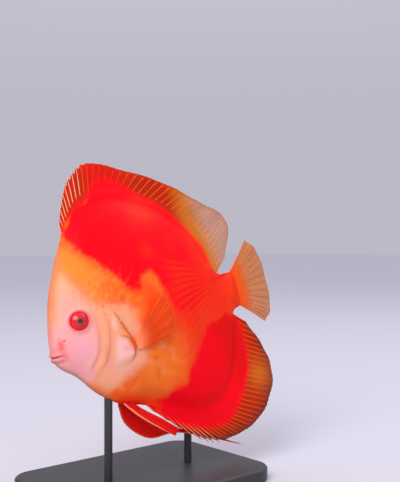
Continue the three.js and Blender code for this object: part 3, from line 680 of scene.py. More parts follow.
def skin_mesh():
    """Points and faces of the whole body: a left and a right sheet that meet along the outline."""
    cx, cz = SKIN_CENTRE
    x, z, width = skin_grid()
    centre_width = half_width(np.array(cx), np.array(cz))
    points = []
    faces = []
    for side in (-1, 1):
        points.append(np.array([[cx, side * centre_width, cz]]))
        points.append(np.stack([x, side * width, z], -1).reshape(-1, 3))

    def centre(side):
        return 0 if side < 0 else SKIN_RINGS * SKIN_SECTORS + 1

    def at(side, ring, sector):
        return centre(side) + 1 + ring * SKIN_SECTORS + sector % SKIN_SECTORS

    def add(side, *corners):
        faces.append(corners if side < 0 else corners[::-1])

    for side in (-1, 1):
        for sector in range(SKIN_SECTORS):
            after = sector + 1
            add(side, centre(side), at(side, 0, sector), at(side, 0, after))
            for ring in range(SKIN_RINGS - 1):
                add(
                    side, at(side, ring, sector), at(side, ring + 1, sector),
                    at(side, ring + 1, after), at(side, ring, after),
                )
    rim = SKIN_RINGS - 1
    for sector in range(SKIN_SECTORS):
        after = (sector + 1) % SKIN_SECTORS
        if max(width[-1, sector], width[-1, after]) > RIM_CLOSED:
            faces.append((at(-1, rim, sector), at(1, rim, sector), at(1, rim, after), at(-1, rim, after)))
    return np.vstack(points), faces


def sheet_half(make, v):
    """Half thickness of a fin's sheet: thick where it meets the body and thinnest at the margin."""
    half = make["half"]
    thinning = 1 - MARGIN_THINNING * smooth(v, 0.9, 1)
    return mix(half["root"], half["membrane"], smooth(v, 0, half["fade"])) * thinning


def sheet_mesh(place, make):
    """A closed sheet over u and v with the same splits on both faces."""
    rows = make["rows"]
    columns = make["splits"] * (make["rays"] - 1)
    u, v = np.meshgrid(np.linspace(0, 1, columns + 1), np.linspace(0, 1, rows + 1))
    step = 1e-3
    middle = place(u, v)
    across = place(np.minimum(u + step, 1), v) - place(np.maximum(u - step, 0), v)
    along = place(u, np.minimum(v + step, 1)) - place(u, np.maximum(v - step, 0))
    normal = np.cross(across, along)
    normal /= np.linalg.norm(normal, axis=-1, keepdims=True) + 1e-12
    thick = normal * sheet_half(make, v)[..., None]
    points = np.vstack([(middle + thick).reshape(-1, 3), (middle - thick).reshape(-1, 3)])
    width = columns + 1
    back = width * (rows + 1)
    faces = []
    for row in range(rows):
        for column in range(columns):
            a = row * width + column
            faces.append((a, a + 1, a + width + 1, a + width))
            faces.append((back + a, back + a + width, back + a + width + 1, back + a + 1))
        first = row * width
        last = first + columns
        faces.append((first, first + width, back + first + width, back + first))
        faces.append((last, back + last, back + last + width, last + width))
    for column in range(columns):
        tip = rows * width + column
        faces.append((column, back + column, back + column + 1, column + 1))
        faces.append((tip, tip + 1, back + tip + 1, back + tip))
    return points, faces, np.tile(v.ravel(), 2)


# Fin surfaces: place(u, v) with u across the rays and v along them
def median_place(make):
    """Sheet of the dorsal or anal fin, notched between its spines unless the ridge is given."""
    stations = len(make["margin"]) - 1
    spines = make["spines"] / make["rays"]
    wave = MEDIAN_WAVE

    def place(u, v, ridge=None):
        at = (make["start"] + np.clip(u, 0, 1) * stations) / len(OUTLINE)
        root = curve_at(OUTLINE, at, closed=True)
        tangent = curve_at(OUTLINE, at + 1e-4, closed=True) - curve_at(OUTLINE, at - 1e-4, closed=True)
        tangent /= np.linalg.norm(tangent, axis=-1, keepdims=True)
        outward = np.stack([-tangent[..., 1], tangent[..., 0]], -1)
        root = root - ROOT_INSET * outward
        tip = curve_at(make["margin"], u)
        if ridge is None:
            ridge = np.abs(np.cos(math.pi * u * (make["rays"] - 1)))
        front = u if make["spines_first"] else 1 - u
        dip = make["notch"] * (1 - smooth(front, spines * 0.8, spines * 1.2)) + MARGIN_DIP
        reach = v * (1 - dip * (1 - ridge) * v)
        flat = root + (tip - root) * reach[..., None]
        sway = make["sway"] * np.sin(wave["sways"] * math.pi * u)
        turns = u * wave["ripples"] + wave["uneven"] * np.sin(wave["bends"] * u)
        ripple = wave["ripple"] * np.sin(math.pi * turns)
        return np.stack([flat[..., 0], (sway + ripple) * v * v, flat[..., 1]], -1)

    return place


def caudal_place(u, v):
    root = curve_at(CAUDAL_ROOT, u)
    tip = curve_at(CAUDAL_MARGIN, u)
    flat = root + (tip - root) * v[..., None]
    ripple = CAUDAL_WAVE["ripple"] * np.sin(math.pi * CAUDAL_WAVE["ripples"] * u)
    return np.stack([flat[..., 0], (CAUDAL_WAVE["sway"] + ripple) * v * v, flat[..., 1]], -1)


def pectoral_place(side):
    fin = PECTORAL
    root_x, root_y, root_z = fin["root"]

    def place(u, v):
        angle = fin["top"] - fin["spread"] * u
        along = v * (fin["length"] - fin["shorter"] * u**1.6)
        lean = along * (fin["lean"] - fin["curl"] * v)
        billow = fin["billow"] * np.sin(math.pi * u) * v
        ripple = fin["ripple"] * np.sin(math.pi * fin["ripples"] * u) * v * v
        x = root_x + along * np.cos(angle) * fin["reach"]
        z = root_z + fin["height"] * (0.5 - u) * (1 - v) + along * np.sin(angle)
        return np.stack([x, side * (root_y + lean + billow + ripple), z], -1)

    return place


def pelvic_place(side, edges):
    flip = np.array([1, side, 1])

    def place(u, v):
        lead = curve_at(edges["leading"], v) * flip
        trail = curve_at(edges["trailing"], v) * flip
        point = lead + (trail - lead) * u[..., None]
        point[..., 1] += side * PELVIC_BILLOW * np.sin(math.pi * 3 * u) * v
        return point

    return place


def ray_lines(place, make):
    """Middle lines of the rays: soft ones split in two, spines stand past the margin."""
    lines = []
    last = make["rays"] - 1
    for ray in range(make["rays"]):
        front = ray if make["spines_first"] else last - ray
        kind = "spine" if front < make["spines"] else "soft"
        for split in (0,) if kind == "spine" else (-1, 1):
            begin = RAY_START if split <= 0 else make["branch"]
            v = np.linspace(begin, 1, RAY_POINTS if split <= 0 else RAY_POINTS // 2)
            drift = split * BRANCH_DRIFT / last * smooth(v, make["branch"], 1)
            line = place(np.clip(ray / last + drift, 0, 1), v)
            if kind == "spine":
                line = np.vstack([line, line[-1] + (line[-1] - line[-2]) * make["spine_tip"]])
                v = np.append(v, 1)
            lines.append({"points": line, "v": v, "kind": kind})
    return lines


def ray_radius(make, line):
    root, tip = make["radii"][line["kind"]]
    return mix(root, tip, line["v"] ** make["radii"]["taper"])


# Shader building
MIX_FACTOR = 0
MIX_FIRST = 6
MIX_SECOND = 7
MIX_RESULT = 2


class Term:
    """A shader value that turns Python arithmetic into Math nodes."""

    def __init__(self, shader, socket):
        self.shader = shader
        self.socket = socket

    def join(self, operation, a, b):
        return self.shader.term("ShaderNodeMath", {"operation": operation}, {0: a, 1: b})

    def __add__(self, other):
        return self.join("ADD", self, other)

    def __sub__(self, other):
        return self.join("SUBTRACT", self, other)

    def __rsub__(self, other):
        return self.join("SUBTRACT", other, self)

    def __mul__(self, other):
        return self.join("MULTIPLY", self, other)

    __radd__ = __add__
    __rmul__ = __mul__


class Shader:
    """The node tree of a material or of the surround, with one method that adds any node."""

    def __init__(self, owner, surface="Principled BSDF"):
        owner.use_nodes = True
        self.owner = owner
        self.tree = owner.node_tree
        self.surface = self.tree.nodes[surface]

    def node(self, kind, settings=None, values=None):
        node = self.tree.nodes.new(kind)
        for key, value in (settings or {}).items():
            setattr(node, key, value)
        for key, value in (values or {}).items():
            self.link(value, node.inputs[key])
        return node

    def link(self, value, socket):
        if isinstance(value, Term):
            self.tree.links.new(value.socket, socket)
        else:
            socket.default_value = value

    def term(self, kind, settings=None, values=None, output=0):
        return Term(self, self.node(kind, settings, values).outputs[output])

    def attribute(self, name, output):
        return self.term("ShaderNodeAttribute", {"attribute_name": name}, None, output)

    def place(self):
        return self.term("ShaderNodeTexCoord", None, None, "Object")

    def noise(self, vector, scale, detail=3):
        values = {"Vector": vector, "Scale": scale, "Detail": detail}
        return self.term("ShaderNodeTexNoise", None, values, "Fac")

    def ramp(self, value, low, high):
        values = {"Value": value, "From Min": low, "From Max": high}
        return self.term("ShaderNodeMapRange", {"interpolation_type": "SMOOTHSTEP"}, values)

    def tint(self, colour, factor, other, blend="MIX"):
        settings = {"data_type": "RGBA", "blend_type": blend}
        values = {MIX_FACTOR: factor, MIX_FIRST: colour, MIX_SECOND: other}
        return self.term("ShaderNodeMix", settings, values, MIX_RESULT)

    def bump(self, height, strength, distance):
        values = {"Height": height, "Strength": strength, "Distance": distance}
        return self.term("ShaderNodeBump", None, values)

    def set(self, **values):
        for key, value in values.items():
            self.link(value, self.surface.inputs[key.replace("_", " ")])
        return self.owner


def solid(colour):
    """A linear colour with full cover, for a socket."""
    return tuple(linear(colour)) + (1,)


def skin_material(settings):
    """Painted skin with soft mottling and faint scales."""
    shader = Shader(bpy.data.materials.new("discus_skin"))
    flank = shader.attribute("flank", "Vector")
    place = shader.place()
    scaly = shader.attribute("scaly", "Fac")
    cells = shader.term("ShaderNodeTexVoronoi", {"feature": "DISTANCE_TO_EDGE"}, {
        "Vector": flank, "Scale": 1 / settings.scale_size, "Randomness": 0.45,
    }, "Distance")
    scale_edge = shader.ramp(cells, 0, 0.22)
    mottle = shader.noise(place, 260, 4)
    cloud = shader.noise(place, 60, 2)
    colour = shader.attribute("paint", "Color")
    colour = shader.tint(colour, (1 - scale_edge) * scaly * 0.3, (0.97, 0.8, 0.76, 1), "MULTIPLY")
    colour = shader.tint(colour, mottle * 0.3, (1.0, 0.8, 0.74, 1), "MULTIPLY")
    colour = shader.tint(colour, cloud * 0.2, (1.0, 0.86, 0.8, 1), "MULTIPLY")
    height = scale_edge * scaly * 0.6 + mottle * 0.2
    return shader.set(
        Base_Color=colour, Roughness=mottle * 0.16 + 0.46, Normal=shader.bump(height, 0.3, 0.0002),
        Coat_Weight=settings.wetness, Coat_Roughness=0.3, Specular_IOR_Level=0.05, Subsurface_Weight=0.08,
        Subsurface_Radius=(1.0, 0.35, 0.2), Subsurface_Scale=0.002,
    )


def fin_material(name):
    """Painted fin tissue with a fine grain, as clear as its points say."""
    shader = Shader(bpy.data.materials.new(name))
    grain = shader.noise(shader.place(), 420, 4)
    paint = shader.attribute("paint", "Color")
    return shader.set(
        Base_Color=shader.tint(paint, (grain - 0.4) * 0.4, (1.0, 0.7, 0.55, 1), "MULTIPLY"),
        Roughness=grain * 0.15 + 0.42, Normal=shader.bump(grain, 0.25, 0.0002),
        Alpha=shader.attribute("clear", "Fac"), Specular_IOR_Level=0.08,
    )


def eye_material():
    """Glossy painted eye with flecks in the iris."""
    shader = Shader(bpy.data.materials.new("discus_eye"))
    flecks = shader.noise(shader.place(), 900, 3)
    paint = shader.attribute("paint", "Color")
    return shader.set(
        Base_Color=shader.tint(paint, (flecks - 0.4) * 0.5, (1.0, 0.45, 0.35, 1), "MULTIPLY"),
        Roughness=0.22, Coat_Weight=0.35, Coat_Roughness=0.03, Specular_IOR_Level=0.3,
    )


def stand_material(settings):
    """Dark satin paint of the stand."""
    shader = Shader(bpy.data.materials.new("stand_paint"))
    place = shader.place()
    grain = shader.noise(place, 900, 3)
    cloud = shader.noise(place, 22, 2)
    return shader.set(
        Base_Color=shader.tint(solid(settings.stand_colour), cloud * 0.25, (0.09, 0.09, 0.1, 1)),
        Roughness=grain * 0.12 + 0.38, Normal=shader.bump(grain, 0.12, 0.0001),
    )


# Geometry Nodes: rays swept along their middle lines
def ray_tree():
    """Sweeps a circle along every line, as thick as the line's points say."""
    tree = bpy.data.node_groups.new("rays_along_lines", "GeometryNodeTree")
    for name, way, kind in (
        ("Lines", "INPUT", "NodeSocketGeometry"),
        ("Sides", "INPUT", "NodeSocketInt"),
        ("Material", "INPUT", "NodeSocketMaterial"),
        ("Rays", "OUTPUT", "NodeSocketGeometry"),
    ):
        tree.interface.new_socket(name, in_out=way, socket_type=kind)
    add = tree.nodes.new
    start = add("NodeGroupInput")
    end = add("NodeGroupOutput")
    to_curve = add("GeometryNodeMeshToCurve")
    thickness = add("GeometryNodeInputNamedAttribute")
    thickness.data_type = "FLOAT"
    thickness.inputs["Name"].default_value = "thickness"
    profile = add("GeometryNodeCurvePrimitiveCircle")
    profile.inputs["Radius"].default_value = 1.0
    sweep = add("GeometryNodeCurveToMesh")
    sweep.inputs["Fill Caps"].default_value = True
    soften = add("GeometryNodeSetShadeSmooth")
    realize = add("GeometryNodeRealizeInstances")
    coat = add("GeometryNodeSetMaterial")
    for source, target in (
        (start.outputs["Lines"], to_curve.inputs["Mesh"]),
        (start.outputs["Sides"], profile.inputs["Resolution"]),
        (to_curve.outputs["Curve"], sweep.inputs["Curve"]),
        (profile.outputs["Curve"], sweep.inputs["Profile Curve"]),
        (thickness.outputs["Attribute"], sweep.inputs["Scale"]),
        (sweep.outputs["Mesh"], soften.inputs[0]),
        (soften.outputs[0], realize.inputs["Geometry"]),
        (realize.outputs["Geometry"], coat.inputs["Geometry"]),
        (start.outputs["Material"], coat.inputs["Material"]),
        (coat.outputs["Geometry"], end.inputs["Rays"]),
    ):
        tree.links.new(source, target)
    return tree


def lines_mesh(name, lines, make, paint, clear):
    """The rays' middle lines as loose edges that carry thickness, colour and cover."""
    edges = []
    begin = 0
    for line in lines:
        end = begin + len(line["points"])
        edges += [(point, point + 1) for point in range(begin, end - 1)]
        begin = end
    mesh = bpy.data.meshes.new(name)
    mesh.from_pydata(to_part(np.vstack([line["points"] for line in lines])).tolist(), edges, [])
    colours = [paint(line["points"], line["v"], line["kind"]) for line in lines]
    cover = [clear(line["points"], line["v"], line["kind"]) for line in lines]
    radii = [ray_radius(make, line) for line in lines]
    set_paint(mesh, np.vstack(colours))
    set_values(mesh, "thickness", np.concatenate(radii) * MM)
    set_values(mesh, "clear", np.concatenate(cover))
    return mesh


def sweep_rays(name, lines, material):
    """Turns a mesh of middle lines into one plain mesh of rays."""
    holder = link_object(name + "_lines", lines)
    tree = bpy.data.node_groups.get("rays_along_lines") or ray_tree()
    modifier = holder.modifiers.new("rays", "NODES")
    modifier.node_group = tree
    sockets = {item.name: item.identifier for item in tree.interface.items_tree if item.in_out == "INPUT"}
    modifier[sockets["Sides"]] = RAY_SIDES
    modifier[sockets["Material"]] = material
    evaluated = holder.evaluated_get(bpy.context.evaluated_depsgraph_get())
    mesh = bpy.data.meshes.new_from_object(evaluated)
    mesh.name = name
    bpy.data.objects.remove(holder)
    return link_object(name, mesh)


def build_fin(name, node, slot, make, place, paint, clear, ray_place=None):
    """Makes a fin's membrane, which replaces its CAD node, and its rays."""
    points, faces, v = sheet_mesh(place, make)
    material = fin_material(name + "_membrane")
    membrane = make_piece(name, points, faces, material, paint(points, v, None), clear(points, v, None))
    outward_faces(membrane)
    keep(membrane, slot, node)
    lines = lines_mesh(name + "_rays_lines", ray_lines(ray_place or place, make), make, paint, clear)
    rays = sweep_rays(name + "_rays", lines, fin_material(name + "_rays"))
    keep(rays, slot)


# Settings
def colour_property(name, description, default):
    return bpy.props.FloatVectorProperty(
        name=name, description=description, default=default, subtype="COLOR_GAMMA", size=3, min=0, max=1,
    )


class SkinSettings(bpy.types.PropertyGroup):
    red: colour_property("Red", "Saturated red of the back and lower flank", (1.0, 0.0, 0.09))
    scarlet: colour_property("Scarlet", "Orange red of the rear flank and belly", (0.97, 0.19, 0.07))
    blood: colour_property("Blood red", "Darker red towards the anal fin", (0.88, 0.04, 0.02))
    orange: colour_property("Orange", "Ground colour of the flank", (0.98, 0.42, 0.14))
    deep_orange: colour_property("Deep orange", "Stronger orange of the flank", (0.97, 0.33, 0.09))
    # Amber is also the painted highlight on the gill cover's raised edge and, in part, painted light on the
    # lower flank.
    amber: colour_property("Amber", "Nape band and lights of the flank", (0.98, 0.55, 0.2))
    rim: colour_property("Rim", "Edge of the forehead", (0.93, 0.52, 0.28))
    peach: colour_property("Peach", "Forehead and gill region", (0.97, 0.66, 0.51))
    pink: colour_property("Pink", "Face and throat", (0.95, 0.66, 0.66))
    lilac: colour_property("Lilac", "Cool middle of the cheek", (0.95, 0.68, 0.74))
    white: colour_property("White", "Pale patch on the gill cover", (0.99, 0.8, 0.8))
    rose: colour_property("Rose", "Throat side of the gill cover", (0.93, 0.7, 0.62))
    blush: colour_property("Blush", "Red round the eye and nostril", (0.93, 0.38, 0.4))
    # Gill edge is painted shade in the dip behind the gill cover's raised edge; it also draws the inset's
    # line and two small spots low on the flank.
    gill: colour_property("Gill edge", "Dark edge of the gill cover", (0.76, 0.3, 0.08))
    fold: colour_property("Fold", "Shadowed folds of the cheek plates", (0.86, 0.47, 0.42))
    # Painted shade in the slit between the lips.
    mouth: colour_property("Mouth", "Line between the lips", (0.5, 0.24, 0.24))
    # Painted shade along the edge of the face, at brow and chin.
    edge_shade: colour_property("Chin", "Greyer skin along the edge of the face", (0.72, 0.47, 0.42))
    scale_size: bpy.props.FloatProperty(
        name="Scale size", description="Width of one scale in millimetres", default=1.7, min=0.5, max=6,
    )
    wetness: bpy.props.FloatProperty(
        name="Wetness", description="Weight of the clear coat", default=0.02, min=0, max=1, subtype="FACTOR",
    )


class EyeSettings(bpy.types.PropertyGroup):
    iris: colour_property("Iris", "Red of the iris", (0.86, 0.02, 0.13))
    iris_inner: colour_property("Inner iris", "Iris next to the pupil", (0.72, 0.1, 0.1))
    iris_edge: colour_property("Iris edge", "Dark outer edge of the iris", (0.6, 0.03, 0.08))
    pupil_ring: colour_property("Pupil ring", "Thin lighter ring round the pupil", (0.75, 0.32, 0.2))
    pupil: colour_property("Pupil", "Middle of the eye", (0.26, 0.17, 0.14))


class FinSettings(bpy.types.PropertyGroup):
    crimson: colour_property("Crimson", "Red of the dorsal fin's top", (0.84, 0.07, 0.03))
    membrane: colour_property("Membrane", "Dark red brown between the rays", (0.72, 0.14, 0.02))
    brown: colour_property("Brown", "Outer margin of the anal fin", (0.47, 0.13, 0.04))
    ray: colour_property("Ray", "Orange of the fin rays", (0.92, 0.36, 0.09))
    pale: colour_property("Pale tip", "Tips of the front spines", (0.98, 0.62, 0.48))
    ochre: colour_property("Ochre", "Rear of the dorsal fin and the tail fin", (0.82, 0.48, 0.13))
    tan: colour_property("Tan", "Thin rear lobe", (0.82, 0.56, 0.4))
    pectoral: colour_property("Pectoral", "Membrane of the pectoral fins", (0.96, 0.35, 0.11))
    pectoral_ray: colour_property("Pectoral ray", "Rays of the pectoral fins", (0.88, 0.19, 0.06))
    pelvic: colour_property("Pelvic", "Membrane of the pelvic fins", (0.83, 0.02, 0.03))
    pectoral_cover: bpy.props.FloatProperty(
        name="Pectoral cover", description="How much the pectoral membrane hides", default=0.5, min=0, max=1,
        subtype="FACTOR",
    )


class StageSettings(bpy.types.PropertyGroup):
    floor_colour: colour_property("Floor", "Plain pale floor", (0.78, 0.775, 0.82))
    sky_colour: colour_property("Surround", "Light from the sides", (0.75, 0.745, 0.795))
    top_colour: colour_property("Top light", "Light from above", (0.98, 0.97, 1.0))
    sky_strength: bpy.props.FloatProperty(
        name="Surround strength", description="Strength of the light all round", default=0.95, min=0,
    )
    stand_colour: colour_property("Stand", "Paint of the display stand", (0.13, 0.135, 0.145))
    key_power: bpy.props.FloatProperty(
        name="Key light", description="Power of the large soft light", default=12.5, min=0, unit="POWER",
    )
    back_power: bpy.props.FloatProperty(
        name="Back light", description="Power of the light from behind the model", default=5, min=0,
        unit="POWER",
    )


class DISCUS_OT_skin(bpy.types.Operator):
    """Makes the one skin of head, trunk and tail stem."""

    bl_idname = "discus.skin"
    bl_label = "Skin"

    def execute(self, context):
        settings = context.scene.discus_skin
        points, faces = skin_mesh()
        x, z = points[:, 0], points[:, 2]
        piece = make_piece("fish_skin", points, faces, skin_material(settings))
        mesh = piece.data
        normals = np.empty(len(points) * 3)
        mesh.vertices.foreach_get("normal", normals)
        outward = normals.reshape(-1, 3) @ np.array(TILT)
        outward[np.abs(points[:, 1]) < RIM_CLOSED, 1] = 0
        shaped = points + outward * skin_relief(x, z)[:, None]
        mesh.vertices.foreach_set("co", to_part(shaped).ravel())
        mesh.update()
        set_paint(mesh, paint_body(Palette(settings), points))
        mesh.attributes.new("flank", "FLOAT_VECTOR", "POINT").data.foreach_set("vector", points.ravel())
        head = (1 - smooth(line_distance(x, z, GILL_LINE), -3, 2)) * (1 - smooth(z, 20, 30))
        bare = np.maximum(head, 1 - smooth(x, 14, 26))
        set_values(mesh, "scaly", 1 - 0.85 * bare)
        weld(piece, WELD_REACH)
        keep(piece, "skin", "head", "trunk", "tail_stem")
        return {"FINISHED"}


def eye_seat(side):
    """Middle of an eye, sunk into the flank, and the direction in which it looks."""
    x, z = EYE
    ahead, behind, above, below, here = half_width(
        np.array([x + 1.0, x - 1.0, x, x, x]), np.array([z, z, z + 1.0, z - 1.0, z])
    )
    look = Vector(((behind - ahead) / 2, side, (below - above) / 2)).normalized()
    return Vector((x, side * here, z)) - look * EYE_SINK, look


def eye_mesh():
    """A ball with a domed front, in rings of points round its y axis."""
    fall = np.linspace(0, math.pi, EYE_ROWS + 1)[1:-1]
    around = np.linspace(0, 2 * math.pi, EYE_COLUMNS, endpoint=False)
    radius = EYE_RADIUS * np.sin(fall)
    dome = EYE_DOME["height"] * bump(radius, EYE_DOME["width"]) * (fall < math.pi / 2)
    height = EYE_DEPTH * np.cos(fall) + dome
    points = [(0, EYE_DEPTH + EYE_DOME["height"], 0)]
    for ring, level in zip(radius, height):
        points += [(ring * math.cos(turn), level, ring * math.sin(turn)) for turn in around]
    points.append((0, -EYE_DEPTH, 0))
    rings = len(fall)
    back_ring = 1 + (rings - 1) * EYE_COLUMNS
    faces = []
    for column in range(EYE_COLUMNS):
        after = (column + 1) % EYE_COLUMNS
        faces.append((0, 1 + after, 1 + column))
        faces.append((len(points) - 1, back_ring + column, back_ring + after))
        for row in range(rings - 1):
            a = 1 + row * EYE_COLUMNS + column
            b = 1 + row * EYE_COLUMNS + after
            faces.append((a, b, b + EYE_COLUMNS, a + EYE_COLUMNS))
    return np.array(points), faces


def paint_eye(colours, points):
    """Pupil, a ring round it, the red iris and its darker edge."""
    radius = np.hypot(points[:, 0], points[:, 2])
    coat = Coat(colours.iris_inner, len(points))
    coat.lay(colours.iris, smooth(radius, 1.6, 3.2))
    coat.lay(colours.iris_edge, 0.5 * smooth(radius, 4.3, 4.9))
    coat.lay(colours.pupil_ring, 0.6 * bump(radius - 1.7, 0.3))
    coat.lay(colours.pupil, 1 - smooth(radius, 0.9, 1.9))
    return coat.colour


class DISCUS_OT_eyes(bpy.types.Operator):
    """Makes both eyes: a domed ball with iris and pupil."""

    bl_idname = "discus.eyes"
    bl_label = "Eyes"

    def execute(self, context):
        material = eye_material()
        points, faces = eye_mesh()
        colours = paint_eye(Palette(context.scene.discus_eyes), points)
        for side, word in SIDES:
            centre, look = eye_seat(side)
            turn = np.array(Vector((0, 1, 0)).rotation_difference(look).to_matrix())
            seated = points @ turn.T + np.array(centre)
            piece = make_piece(f"eyeball_{word}", seated, faces, material, colours)
            outward_faces(piece)
            keep(piece, "eye", f"eye_{word}")
        return {"FINISHED"}


def build_median_fin(name, node, make, paint, clear):
    """Makes a fin of the middle plane, whose rays reach past the notches of its membrane."""
    place = median_place(make)

    def ray_place(u, v):
        return place(u, v, ridge=1)

    build_fin(name, node, "fin", make, place, paint, clear, ray_place)


class DISCUS_OT_dorsal_fin(bpy.types.Operator):
    """Makes the dorsal fin: membrane and rays."""

    bl_idname = "discus.dorsal_fin"
    bl_label = "Dorsal fin"

    def execute(self, context):
        fins = Palette(context.scene.discus_fins)
        skin = Palette(context.scene.discus_skin)

        def paint(points, v, ray):
            x, z = points[:, 0], points[:, 2]
            coat = Coat(fins.ray if ray else fins.membrane, len(points))
            if ray == "spine":
                coat.lay(fins.pale, smooth(v, 0.1, 0.6))
            top = smooth(x, 44, 54) * (1 - smooth(x, 68, 84))
            coat.lay(fins.crimson, top * (0.75 if ray else 0.9))
            coat.lay(fins.ochre, smooth(x, 98, 112) * (0.9 if ray else 0.8))
            coat.lay(mix(fins.tan, 1, 0.2 if ray else 0), smooth(x + 0.2 * z, 120, 134))
            coat.lay(fins.membrane, 0.4 * smooth(v, 0.9, 1) * smooth(x, 50, 60))
            coat.lay_flank(paint_body(skin, points), skin.red, zone(x, z, RED_BACK_ZONE, 2.6), v)
            return coat.colour

        def clear(points, v, ray):
            return 1 - 0.45 * smooth(points[:, 0], 108, 126) * smooth(v, 0.3, 0.65)

        build_median_fin("dorsal_sail", "dorsal_fin", DORSAL, paint, clear)
        return {"FINISHED"}


class DISCUS_OT_anal_fin(bpy.types.Operator):
    """Makes the anal fin: membrane and rays."""

    bl_idname = "discus.anal_fin"
    bl_label = "Anal fin"

    def execute(self, context):
        fins = Palette(context.scene.discus_fins)
        skin = Palette(context.scene.discus_skin)

        def paint(points, v, ray):
            x, z = points[:, 0], points[:, 2]
            coat = Coat(fins.ray if ray else fins.membrane, len(points))
            coat.lay(fins.brown, smooth(v, 0.7, 1) * (0.6 if ray else 0.9))
            if ray == "spine":
                coat.lay(fins.pale, 0.8 * smooth(v, 0.3, 0.8))
            coat.lay(fins.ochre, 0.6 * spot(x, z, (131, -52), 9))
            coat.lay_flank(paint_body(skin, points), skin.red, zone(x, z, RED_LOW_ZONE, 2.6), v)
            return coat.colour

        def clear(points, v, ray):
            return 1 - 0.15 * smooth(v, 0.6, 1)

        build_median_fin("anal_sail", "anal_fin", ANAL, paint, clear)
        return {"FINISHED"}


class DISCUS_OT_caudal_fin(bpy.types.Operator):
    """Makes the tail fin."""

    bl_idname = "discus.caudal_fin"
    bl_label = "Tail fin"

    def execute(self, context):
        fins = Palette(context.scene.discus_fins)
        skin = Palette(context.scene.discus_skin)

        def paint(points, v, ray):
            coat = Coat(skin.deep_orange, len(points))
            if ray:
                coat.lay(mix(fins.ray, fins.ochre, 0.35), smooth(v, 0.1, 0.6))
            else:
                coat.lay(fins.ochre, smooth(v, 0.08, 0.55))
            return coat.colour

        def clear(points, v, ray):
            return 1 - (0 if ray else 0.42) * smooth(v, 0.15, 0.5)

        build_fin("tail_fan", "caudal_fin", "fin", CAUDAL_MAKE, caudal_place, paint, clear)
        return {"FINISHED"}


class DISCUS_OT_pectoral_fins(bpy.types.Operator):
    """Makes the see-through pectoral fin of each flank."""

    bl_idname = "discus.pectoral_fins"
    bl_label = "Pectoral fins"

    def execute(self, context):
        fins = Palette(context.scene.discus_fins)
        skin = Palette(context.scene.discus_skin)
        lost = 1 - context.scene.discus_fins.pectoral_cover
        root = mix(skin.orange, skin.peach, 0.4)

        def paint(points, v, ray):
            coat = Coat(root, len(points))
            if ray:
                coat.lay(fins.pectoral_ray, smooth(v, 0.05, 0.5))
            else:
                coat.lay(fins.pectoral, smooth(v, 0, 0.42))
            return coat.colour

        def clear(points, v, ray):
            return 1 - (0 if ray else lost) * smooth(v, 0.12, 0.35)

        for side, word in SIDES:
            place = pectoral_place(side)
            names = (f"pectoral_fan_{word}", f"pectoral_fin_{word}")
            build_fin(*names, "pale_fin", PECTORAL_MAKE, place, paint, clear)
        return {"FINISHED"}


class DISCUS_OT_pelvic_fins(bpy.types.Operator):
    """Makes the pelvic fins: a short blade on the left and one with a long filament on the right."""

    bl_idname = "discus.pelvic_fins"
    bl_label = "Pelvic fins"

    def execute(self, context):
        fins = Palette(context.scene.discus_fins)

        def paint_for(side):
            def paint(points, v, ray):
                coat = Coat(fins.pelvic, len(points))
                if ray == "soft":
                    coat.lay(fins.ray, 0.16)
                elif ray == "spine" and side < 0:
                    coat.lay(mix(fins.ray, fins.pale, 0.6), 1)
                elif ray == "spine":
                    coat.lay(fins.ray, 0.4)
                    coat.lay(fins.pale, 0.7 * smooth(v, 0.55, 0.9))
                return coat.colour

            return paint

        def clear(points, v, ray):
            return np.ones(len(points))

        for (side, word), edges in zip(SIDES, (PELVIC_LEFT, PELVIC_RIGHT)):
            make = {**PELVIC_MAKE, "rows": edges["rows"]}
            place = pelvic_place(side, edges)
            names = (f"pelvic_blade_{word}", f"pelvic_fin_{word}")
            build_fin(*names, "fin", make, place, paint_for(side), clear)
        return {"FINISHED"}


class DISCUS_OT_stand(bpy.types.Operator):
    """Paints the display stand."""

    bl_idname = "discus.stand"
    bl_label = "Stand finish"

    def execute(self, context):
        material = stand_material(context.scene.discus_stage)
        for node in ("stand_base", "stand_rod_front", "stand_rod_rear"):
            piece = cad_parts[node]
            piece.data.materials.clear()
            piece.data.materials.append(material)
        return {"FINISHED"}


def add_floor(settings):
    corners = [(x * FLOOR_HALF, y * FLOOR_HALF, 0) for x, y in ((-1, -1), (1, -1), (1, 1), (-1, 1))]
    mesh = bpy.data.meshes.new("floor")
    mesh.from_pydata(corners, [], [(0, 1, 2, 3)])
    shader = Shader(bpy.data.materials.new("floor_matte"))
    mesh.materials.append(shader.set(Base_Color=solid(settings.floor_colour), Roughness=0.9))
    floor = link_object("floor", mesh)


def add_surround(settings):
    """Light all round, brighter from above."""
    shader = Shader(bpy.data.worlds.new("surround"), "Background")
    direction = shader.term("ShaderNodeTexCoord", None, None, "Generated")
    height = shader.term("ShaderNodeSeparateXYZ", None, {"Vector": direction}, "Z")
    rise = shader.ramp(height, SKY_RISE["from"], SKY_RISE["to"])
    sky = shader.tint(solid(settings.sky_colour), rise, solid(settings.top_colour))
    bpy.context.scene.world = shader.set(Color=sky, Strength=settings.sky_strength)


def seen_from_camera(origin, steps):
    """A place some steps to the right of, above and behind another, as the camera sees it."""
    up = Vector((0, 0, steps["up"]))
    return origin + CAMERA_RIGHT * steps["right"] + up + CAMERA_BACK * steps["back"]


def add_lamp(name, steps, power, colour):
    light = bpy.data.lights.new(name, "AREA")
    light.shape = "DISK"
    light.size = LAMP_SIZE
    light.energy = power
    light.color = colour
    lamp = link_object(name, light)
    lamp.location = seen_from_camera(STAGE_MIDDLE, steps)
    lamp.rotation_euler = (STAGE_MIDDLE - lamp.location).to_track_quat("-Z", "Y").to_euler()


